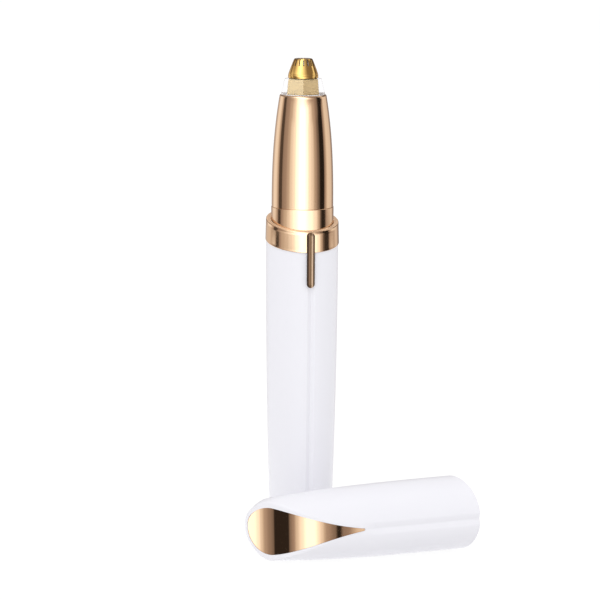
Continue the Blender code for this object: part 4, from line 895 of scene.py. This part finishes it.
# it touches the ground this far along, as a share of its length
TOUCH_SHARE = 0.45
# a y in front of everything, where nothing is scooped away
UNCUT = -1.0
# columns of points: the face beside the recess, the recess's floor, a rounded edge, the round wall
LIP_COLUMNS, FLOOR_COLUMNS, EDGE_COLUMNS, WALL_COLUMNS = 12, 25, 4, 150
cap_top = CAP_RIM + CAP_LENGTH
scoop_bottom = cap_top - SCOOP_LENGTH


def cap_radius(height):
    """Outer radius of the cap as worn: it narrows with the third power of the distance from the rim."""
    return CAP_RIM_RADIUS - CAP_TAPER * np.clip((height - CAP_RIM) / CAP_LENGTH, 0, None) ** 3


def scoop_line(count):
    """The scooped face in side view, as (y, z) points from its tail to the top, a super-ellipse.

    With a growing angle a, its rise is sin(a) to the power 2 / 3.2 of the scoop's length and its
    distance from the back is cos(a) to the power 2 / 2.2 of the cap's width.
    """
    a = math.pi / 2 * np.linspace(0, 1, count) ** 1.6
    height = scoop_bottom + SCOOP_LENGTH * np.sin(a) ** (2 / LONG_POWER)
    depth = 2 * cap_radius(cap_top)
    back = depth * np.clip(np.cos(a), 0, None) ** (2 / DEEP_POWER)
    return as_points(depth - back - cap_radius(height), height)


def unit(vectors):
    """The same directions with a length of 1."""
    return vectors / np.linalg.norm(vectors, axis=1)[:, None]


def offset_line(line, inward):
    """A (y, z) line moved square to itself, into the cap."""
    along = unit(np.gradient(line, axis=0))
    return line + inward * as_points(along[:, 1], -along[:, 0])


def round_nose(points):
    """Draws in the closed end in front view: widths shrink with the square of the way to the end."""
    share = np.clip((cap_top - points[..., 2]) / CAP_NOSE, 0, 1)
    points[..., 0] *= 1 - NOSE_DRAW * (1 - share) ** 2
    return points


def lay_down(points):
    """From worn to lying: turned about the point where the side meets the ground, closed end left."""
    touch = CAP_RIM + TOUCH_SHARE * CAP_LENGTH
    tilt = math.atan(CAP_TAPER * 3 * TOUCH_SHARE**2 / CAP_LENGTH)
    rest = (
        Matrix.Translation((*CAP_PLACE, float(cap_radius(touch)) * math.cos(tilt)))
        @ Matrix.Rotation(CAP_TURN, 4, "Z")
        @ Matrix.Rotation(-math.pi / 2 - tilt, 4, "Y")
        @ Matrix.Translation((0, 0, -touch))
    )
    turned = np.array(rest)
    return points @ turned[:3, :3].T + turned[:3, 3]


def chord(radius, off):
    """Half the width of a circle at a distance off its middle."""
    return np.sqrt(np.clip(radius**2 - np.clip(off, -radius, radius) ** 2, 0, None))


def round_wall(radius, start, heights):
    """Columns of a round wall, from an angle on its right side round the back to the same on its left."""
    columns = []
    for share in np.linspace(0, 1, WALL_COLUMNS):
        angle = start * (1 - share) + (math.tau - start) * share
        columns.append(as_points(radius * np.sin(angle), -radius * np.cos(angle), heights))
    return columns


line = scoop_line(150)
straight = np.linspace(CAP_RIM + RIM_EDGE, scoop_bottom, 60)[:-1]
full_heights = np.concatenate([straight, line[:, 1]])
scoop_y = np.concatenate([np.full(len(straight), UNCUT), line[:, 0]])
outer_radius = cap_radius(full_heights)
true_half = chord(outer_radius, scoop_y)
half = np.where(scoop_y < 0, np.maximum(true_half, CREASE_HALF), true_half)
edge_y = np.where(scoop_y < 0, -chord(outer_radius, half), scoop_y)
nothing = np.zeros(len(half))
# the scoop's edge on the right side, and its direction
edge = as_points(half, edge_y, full_heights)
along = np.gradient(edge, axis=0)
along[-1] = (-1, 0, 0)
along = unit(along)
# square to that edge, into the scoop's face and down the round wall
face_middle = as_points(nothing, np.maximum(scoop_y, -outer_radius), full_heights)
face_along = unit(np.gradient(face_middle, axis=0))
on_face = (along * face_along).sum(axis=1)
inward = unit(as_points(-on_face, nothing, nothing) + along[:, :1] * face_along)
phi = np.arctan2(half, -edge_y)
around = as_points(np.cos(phi), np.sin(phi), nothing)
on_around = (along * around).sum(axis=1)
outward = unit(along[:, 2:] * around - on_around[:, None] * (0, 0, 1))
face_edge = edge + LIP_ROUND * inward
face_edge[-1, 0] = 0
wall_edge = edge + LIP_ROUND * outward
wall_heights = wall_edge[:, 2]
wall_radius = cap_radius(wall_heights)
wall_phi = np.arctan2(wall_edge[:, 0], -wall_edge[:, 1])
wall_phi[-1] = math.pi
arc_columns = round_wall(wall_radius, wall_phi, wall_heights)


def inlay_half(y, height, shrink):
    """Half width of the teardrop at a place on the scoop: a share of the cap's own half width there."""
    radius = cap_radius(height)
    reach = np.where(y < 0, radius, radius - INLAY_BACK_LIP)
    return np.clip(INLAY_SHARE * radius * chord(1, y / reach) - shrink, 0, None)


face_y, face_z = face_edge[:, 1], face_edge[:, 2]
in_scoop = np.arange(len(edge)) >= len(straight)
drop_y = np.where(half > CREASE_HALF, face_y, scoop_y)
drop_half = np.where(in_scoop, inlay_half(drop_y, face_z, 0), 0)
drop_half = np.where(drop_half > RECESS_FROM, drop_half, 0)
depth = RECESS_DEPTH * np.clip(drop_half / RECESS_SOFTNESS, 0, 1)
lip_share = np.linspace(0, 1, LIP_COLUMNS)
lip = [(face_edge[:, 0] * (1 - share) + drop_half * share, nothing) for share in lip_share]
recess = [(drop_half * share, depth) for share in np.linspace(1, -1, FLOOR_COLUMNS)]
into = as_points(nothing, face_along[:, 2], -face_along[:, 1])
strength = np.clip((scoop_bottom + CREASE_END - face_z) / CREASE_FADE, 0, 1)
blend = FACE_SOFTNESS * np.clip((face_z - scoop_bottom) / FACE_SOFT_OVER, 0, 1)
# the face is the round front with its crease or the scoop, whichever lies further back, softly joined
face_columns = []
for x, sunk in [*lip, *recess, *((-x, sunk) for x, sunk in lip[::-1])]:
    front = -chord(outer_radius, x) + CREASE_DEPTH * valley(np.minimum(np.abs(x), outer_radius)) * strength
    joined = 0.5 * (front + scoop_y + np.sqrt((front - scoop_y) ** 2 + blend**2))
    y = np.where(in_scoop, joined, front)
    y = np.where(face_y > -0.6 * outer_radius, face_y, y)
    face_columns.append(as_points(x, y, face_z) + into * sunk[:, None])
# round the section: the left edge, the face from left to right, the right edge, the round wall
wall_edge = arc_columns[0]
turns = np.linspace(0, 1, EDGE_COLUMNS + 2)[1:-1]
right_edge = [bezier(face_columns[0], edge, wall_edge, t) for t in turns]
left_edge = [points * (-1, 1, 1) for points in right_edge[::-1]]
cap_outer = np.stack([*left_edge, *face_columns[::-1], *right_edge, *arc_columns], axis=1)

roof_top = cap_top - CAP_HEADROOM
roof = offset_line(line, ROOF_THICKNESS)
roof = roof[(roof[:, 1] < roof_top) & (roof[:, 1] > scoop_bottom - ROOF_BELOW_SCOOP)]
below = np.linspace(CAP_RIM + RIM_EDGE, roof[0, 1], 30)[:-1]
inner_heights = np.concatenate([below, roof[:, 1], [roof_top]])
last_y = np.interp(roof_top, roof[-2:, 1], roof[-2:, 0])
inner_y = np.concatenate([np.full(len(below), UNCUT), roof[:, 0], [last_y]])
inner_radius = cap_radius(inner_heights) - CAP_WALL
inner_half = np.maximum(chord(inner_radius, inner_y), CREASE_HALF)
inner_columns = []
for share in np.linspace(-1, 1, len(face_columns) + 2 * EDGE_COLUMNS):
    front = -chord(inner_radius, inner_half * share)
    inner_columns.append(as_points(inner_half * share, np.maximum(front, inner_y), inner_heights))
inner_phi = np.arctan2(inner_half, chord(inner_radius, inner_half))
inner_columns += round_wall(inner_radius, inner_phi, inner_heights)
cap_inner = np.stack(inner_columns, axis=1)
rim = np.array([cap_outer[0] * (1 - t) + cap_inner[0] * t for t in np.linspace(0, 1, 7)[1:-1]])
rim[:, :, 2] = CAP_RIM


def pole(row):
    """A row of points that all lie in the middle of the given row."""
    return row.mean(axis=1, keepdims=True) * np.ones_like(row)


cap_grid = np.concatenate([cap_outer[::-1], rim, cap_inner, pole(cap_inner[-1:])])
cap_grid = lay_down(lean(round_nose(cap_grid), CAP_RIM, CAP_RIM + CAP_SLANT_RUN, CAP_SLOPE))
dress("cap_cover", cap_grid, white_abs, "cap", "white_plastic", "cap_shell", sharp=40)

# Teardrop inlay: a thin rose-gold plated plate, pressed to the scoop's curve and let into the
# recess of the cap.
INLAY_THICKNESS = 0.0003
INLAY_LEAST = 0.00025
keep = line[line[:, 0] < cap_radius(line[:, 1]) - INLAY_BACK_LIP - INLAY_GAP]
keep = keep[inlay_half(*keep.T, INLAY_GAP) > INLAY_LEAST]
width = inlay_half(*keep.T, INLAY_GAP)
faces = []
for inset in (INLAY_INSET, INLAY_INSET + INLAY_THICKNESS):
    y, z = offset_line(keep, inset).T
    faces.append(np.stack([as_points(width * share, y, z) for share in np.linspace(-1, 1, 41)], axis=1))
ring = np.concatenate([faces[0], faces[1][:, ::-1]], axis=1)
inlay_grid = lay_down(round_nose(np.concatenate([pole(ring[:1]), ring, pole(ring[-1:])])))
inlay_plating = plating("inlay_plating", roughness=0.035)
dress("teardrop_inlay", inlay_grid, inlay_plating, "cap", "rose_gold", "cap_inlay", sharp=40)

# Battery: an AAA cell in a blue wrap, its two ends bare steel with a pressed shoulder, and the
# conical spring of bright wire that it stands on.
CELL_RADIUS = 0.00525
CELL_BOTTOM = 0.0102
CELL_TOP = 0.0547
NUB_RADIUS = 0.0019
NUB_HEIGHT = 0.0008
WRAP_OVERLAP = 0.0008
SHOULDER_WIDTH = 0.0008
SHOULDER_DROP = 0.0002
DIMPLE_RADIUS = 0.0038
DIMPLE_DEPTH = 0.0001
CELL_EDGE = 0.0003
body_top = CELL_TOP - NUB_HEIGHT
groove = body_top - SHOULDER_DROP
cell_profile = rounded([
    (0, CELL_TOP), (NUB_RADIUS, CELL_TOP), (NUB_RADIUS, groove), (NUB_RADIUS + SHOULDER_WIDTH, groove),
    (NUB_RADIUS + SHOULDER_WIDTH + 0.0003, body_top), (CELL_RADIUS - 0.0002, body_top),
    (CELL_RADIUS, body_top - 0.0005), (CELL_RADIUS, CELL_BOTTOM + 0.0005),
    (CELL_RADIUS - CELL_EDGE, CELL_BOTTOM), (DIMPLE_RADIUS, CELL_BOTTOM),
    (DIMPLE_RADIUS - 0.0002, CELL_BOTTOM + DIMPLE_DEPTH), (0, CELL_BOTTOM + DIMPLE_DEPTH),
], CELL_EDGE)


def is_wrapped(face):
    """Whether a face of the cell lies on its side or on the rims that the wrap is shrunk over."""
    on_side = math.hypot(face.center.x, face.center.y) > CELL_RADIUS - WRAP_OVERLAP
    return on_side and face.normal.z < 0.99 and abs(face.center.z - CELL_BOTTOM) > 0.0001


cell_wrap = skin_material("cell_wrap", (0.03, 0.12, 0.36), (0.025, 0.10, 0.32), 0.28, cloud=200, shine=0.6)
cell_points = turn(cell_profile, even_angles(96))
cell = dress("battery", cell_points, bare_steel, "core", "cell_wrap", "battery_cell")
refinish(cell.data, cell_wrap, is_wrapped)

SPRING_WIRE = 0.0005
SPRING_LOW = 0.0069
SPRING_HEIGHT = 0.003
SPRING_TURNS = 3
SPRING_BASE_RADIUS = 0.0034
SPRING_TOP_RADIUS = 0.002


def tube(path, radius, sides=12):
    """A grid of points round a path, ring by ring, closed flat at both ends."""
    along = unit(np.gradient(path, axis=0))
    up = np.where(np.abs(along[:, 2:]) > 0.9, [[1.0, 0, 0]], [[0, 0, 1.0]])
    side = unit(np.cross(along, up))
    over = np.cross(side, along)
    turns = even_angles(sides)[None, :, None]
    grid = path[:, None] + radius * (np.cos(turns) * side[:, None] + np.sin(turns) * over[:, None])
    ends = path[[0, -1], None] * np.ones((1, sides, 1))
    return np.concatenate([ends[:1], grid, ends[1:]])


share = np.linspace(0, 1, 40 * SPRING_TURNS + 1)
coil_radius = SPRING_BASE_RADIUS + share * (SPRING_TOP_RADIUS - SPRING_BASE_RADIUS)
coil_turn = math.tau * SPRING_TURNS * share
coil_height = SPRING_LOW + SPRING_WIRE / 2 + share * (SPRING_HEIGHT - SPRING_WIRE)
coil = as_points(coil_radius * np.cos(coil_turn), coil_radius * np.sin(coil_turn), coil_height)
spring_steel = skin_material(
    "spring_steel", (0.72, 0.72, 0.73), (0.66, 0.66, 0.68), 0.2, cloud=500, metal=1.0
)
wire = tube(coil, SPRING_WIRE / 2)
dress("conical_spring", wire, spring_steel, "core", "steel", "battery_spring")

# Inner pieces: the frame's own solids, each as a merged copy with smooth round faces and softened
# edges, in the finish of its kind.
MERGE_WITHIN = 1e-6
FLAT_WITHIN = math.radians(0.5)
SHARP_FROM = math.radians(50)


def softened(node, edge):
    """A merged copy of a CAD node's mesh, flat faces whole again, its sharp edges eased by edge."""
    mesh = nodes[node].data.copy()
    shape = bmesh.new()
    shape.from_mesh(mesh)
    bmesh.ops.remove_doubles(shape, verts=shape.verts, dist=MERGE_WITHIN)
    bmesh.ops.recalc_face_normals(shape, faces=shape.faces)
    bmesh.ops.dissolve_limit(shape, angle_limit=FLAT_WITHIN, verts=shape.verts, edges=shape.edges)
    if edge:
        corners = [e for e in shape.edges if e.is_manifold and e.calc_face_angle() > SHARP_FROM]
        bmesh.ops.bevel(shape, geom=corners, offset=edge, segments=2, affect="EDGES", clamp_overlap=True)
    shape.to_mesh(mesh)
    shape.free()
    return mesh


ivory_abs = skin_material("ivory_abs", (0.66, 0.64, 0.57), (0.62, 0.60, 0.53), 0.45, cloud=120)
black_abs = skin_material("black_abs", (0.022, 0.022, 0.024), (0.03, 0.03, 0.032), 0.42, cloud=200)
brass = skin_material("stamped_brass", (0.82, 0.60, 0.26), (0.76, 0.54, 0.22), 0.24, cloud=350, metal=1.0)
ferrite = skin_material(
    "sintered_ferrite", (0.05, 0.05, 0.055), (0.07, 0.07, 0.075), 0.62, grain=6000, height=2e-6
)
board_green = skin_material(
    "solder_resist", (0.012, 0.14, 0.05), (0.02, 0.19, 0.075), 0.26, cloud=900, shine=0.6
)
seal_rubber = skin_material(
    "seal_rubber", (0.025, 0.025, 0.025), (0.035, 0.035, 0.034), 0.72, grain=4000, height=1e-6
)
red_sleeve = skin_material("red_insulation", (0.62, 0.022, 0.02), (0.56, 0.018, 0.018), 0.4)
black_sleeve = skin_material("black_insulation", (0.02, 0.02, 0.02), (0.028, 0.028, 0.028), 0.4)
lamp_resin = skin_material("lamp_resin", (0.90, 0.80, 0.42), (0.86, 0.74, 0.34), 0.15, shine=0.7)
for piece, node, body, slot, material, edge in (
    ("inner_frame", "chassis", "core", "ivory_plastic", ivory_abs, 0),
    ("long_contact", "negative_contact", "core", "contact_brass", brass, 0.00005),
    ("short_contact", "plus_contact", "core", "contact_brass", brass, 0.00005),
    ("neck_seal", "seal_ring", "core", "rubber", seal_rubber, 0),
    ("motor_cradle", "motor_holder", "core", "ivory_plastic", ivory_abs, 0),
    ("motor_shell", "motor_can", "core", "steel", spring_steel, 0),
    ("motor_magnet_ring", "motor_magnet", "core", "ferrite", ferrite, 0.00008),
    ("motor_cover", "motor_end_cap", "core", "black_plastic", black_abs, 0.0001),
    ("lamp_ring_board", "lamp_board", "core", "green_board", board_green, 0.00004),
    ("left_lamp", "lamp_left", "core", "clear_plastic", lamp_resin, 0.00008),
    ("right_lamp", "lamp_right", "core", "clear_plastic", lamp_resin, 0.00008),
    ("switch_circuit", "switch_board", "core", "green_board", board_green, 0.00004),
    ("upper_screw", "board_screw_2", "core", "steel", spring_steel, 0.00004),
    ("lower_screw", "board_screw_1", "core", "steel", spring_steel, 0.00004),
    ("red_motor_lead", "motor_lead_red", "core", "red_wire", red_sleeve, 0),
    ("black_motor_lead", "motor_lead_black", "core", "black_wire", black_sleeve, 0),
    ("red_lamp_lead", "lamp_lead_red", "core", "red_wire", red_sleeve, 0),
    ("black_lamp_lead", "lamp_lead_black", "core", "black_wire", black_sleeve, 0),
    ("slider_carrier", "switch_carrier", "switch", "black_plastic", black_abs, 0.00012),
    ("contact_wiper", "switch_wiper", "switch", "contact_brass", brass, 0.00003),
    ("armature", "motor_armature", "rotor", "steel", ferrite, 0.00008),
    ("drive_shaft", "motor_shaft", "rotor", "steel", spring_steel, 0.00004),
    ("shaft_coupling", "drive_coupling", "rotor", "black_plastic", black_abs, 0.00006),
    ("brass_bush", "cutter_bush", "cutting_head", "contact_brass", brass, 0.00004),
    ("cutter_vanes", "cutter_blade", "cutter", "steel", bare_steel, 0),
    ("cutter_spindle", "cutter_shaft", "cutter", "steel", spring_steel, 0),
):
    dress(piece, softened(node, edge), material, body, slot, node, sharp=40)

# Solder joints: bright domes of tin on the switch board, one where each motor lead and each contact
# tab is fixed to it.
SOLDER_RADIUS = 0.00065
SOLDER_HEIGHT = 0.0004
TAB_OUT = 0.0022
LEAD_OUT = 0.0024
ABOVE_TAB = 0.0012
BELOW_LEAD = 0.0008
front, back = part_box("switch_board")[0][1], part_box("switch_board")[1][1]
lead_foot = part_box("motor_lead_red")[0][2]
tab_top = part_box("negative_contact")[1][2]
solder = skin_material("solder", (0.78, 0.78, 0.80), (0.70, 0.70, 0.73), 0.22, cloud=800, metal=1.0)
rise = np.linspace(0, math.pi / 2, 9)
dome_profile = np.array([(0, 0), *zip(SOLDER_RADIUS * np.cos(rise), SOLDER_HEIGHT * np.sin(rise))])
across, out, up = np.moveaxis(turn(dome_profile, even_angles(32)), -1, 0)
for name, x, y, z, outwards in (
    ("solder_front_left", -TAB_OUT, front, tab_top + ABOVE_TAB, -1),
    ("solder_front_right", TAB_OUT, front, tab_top + ABOVE_TAB, -1),
    ("solder_back_left", -LEAD_OUT, back, lead_foot - BELOW_LEAD, 1),
    ("solder_back_right", LEAD_OUT, back, lead_foot - BELOW_LEAD, 1),
):
    dress(name, as_points(across + x, outwards * up + y, out + z), solder, "core", "steel")
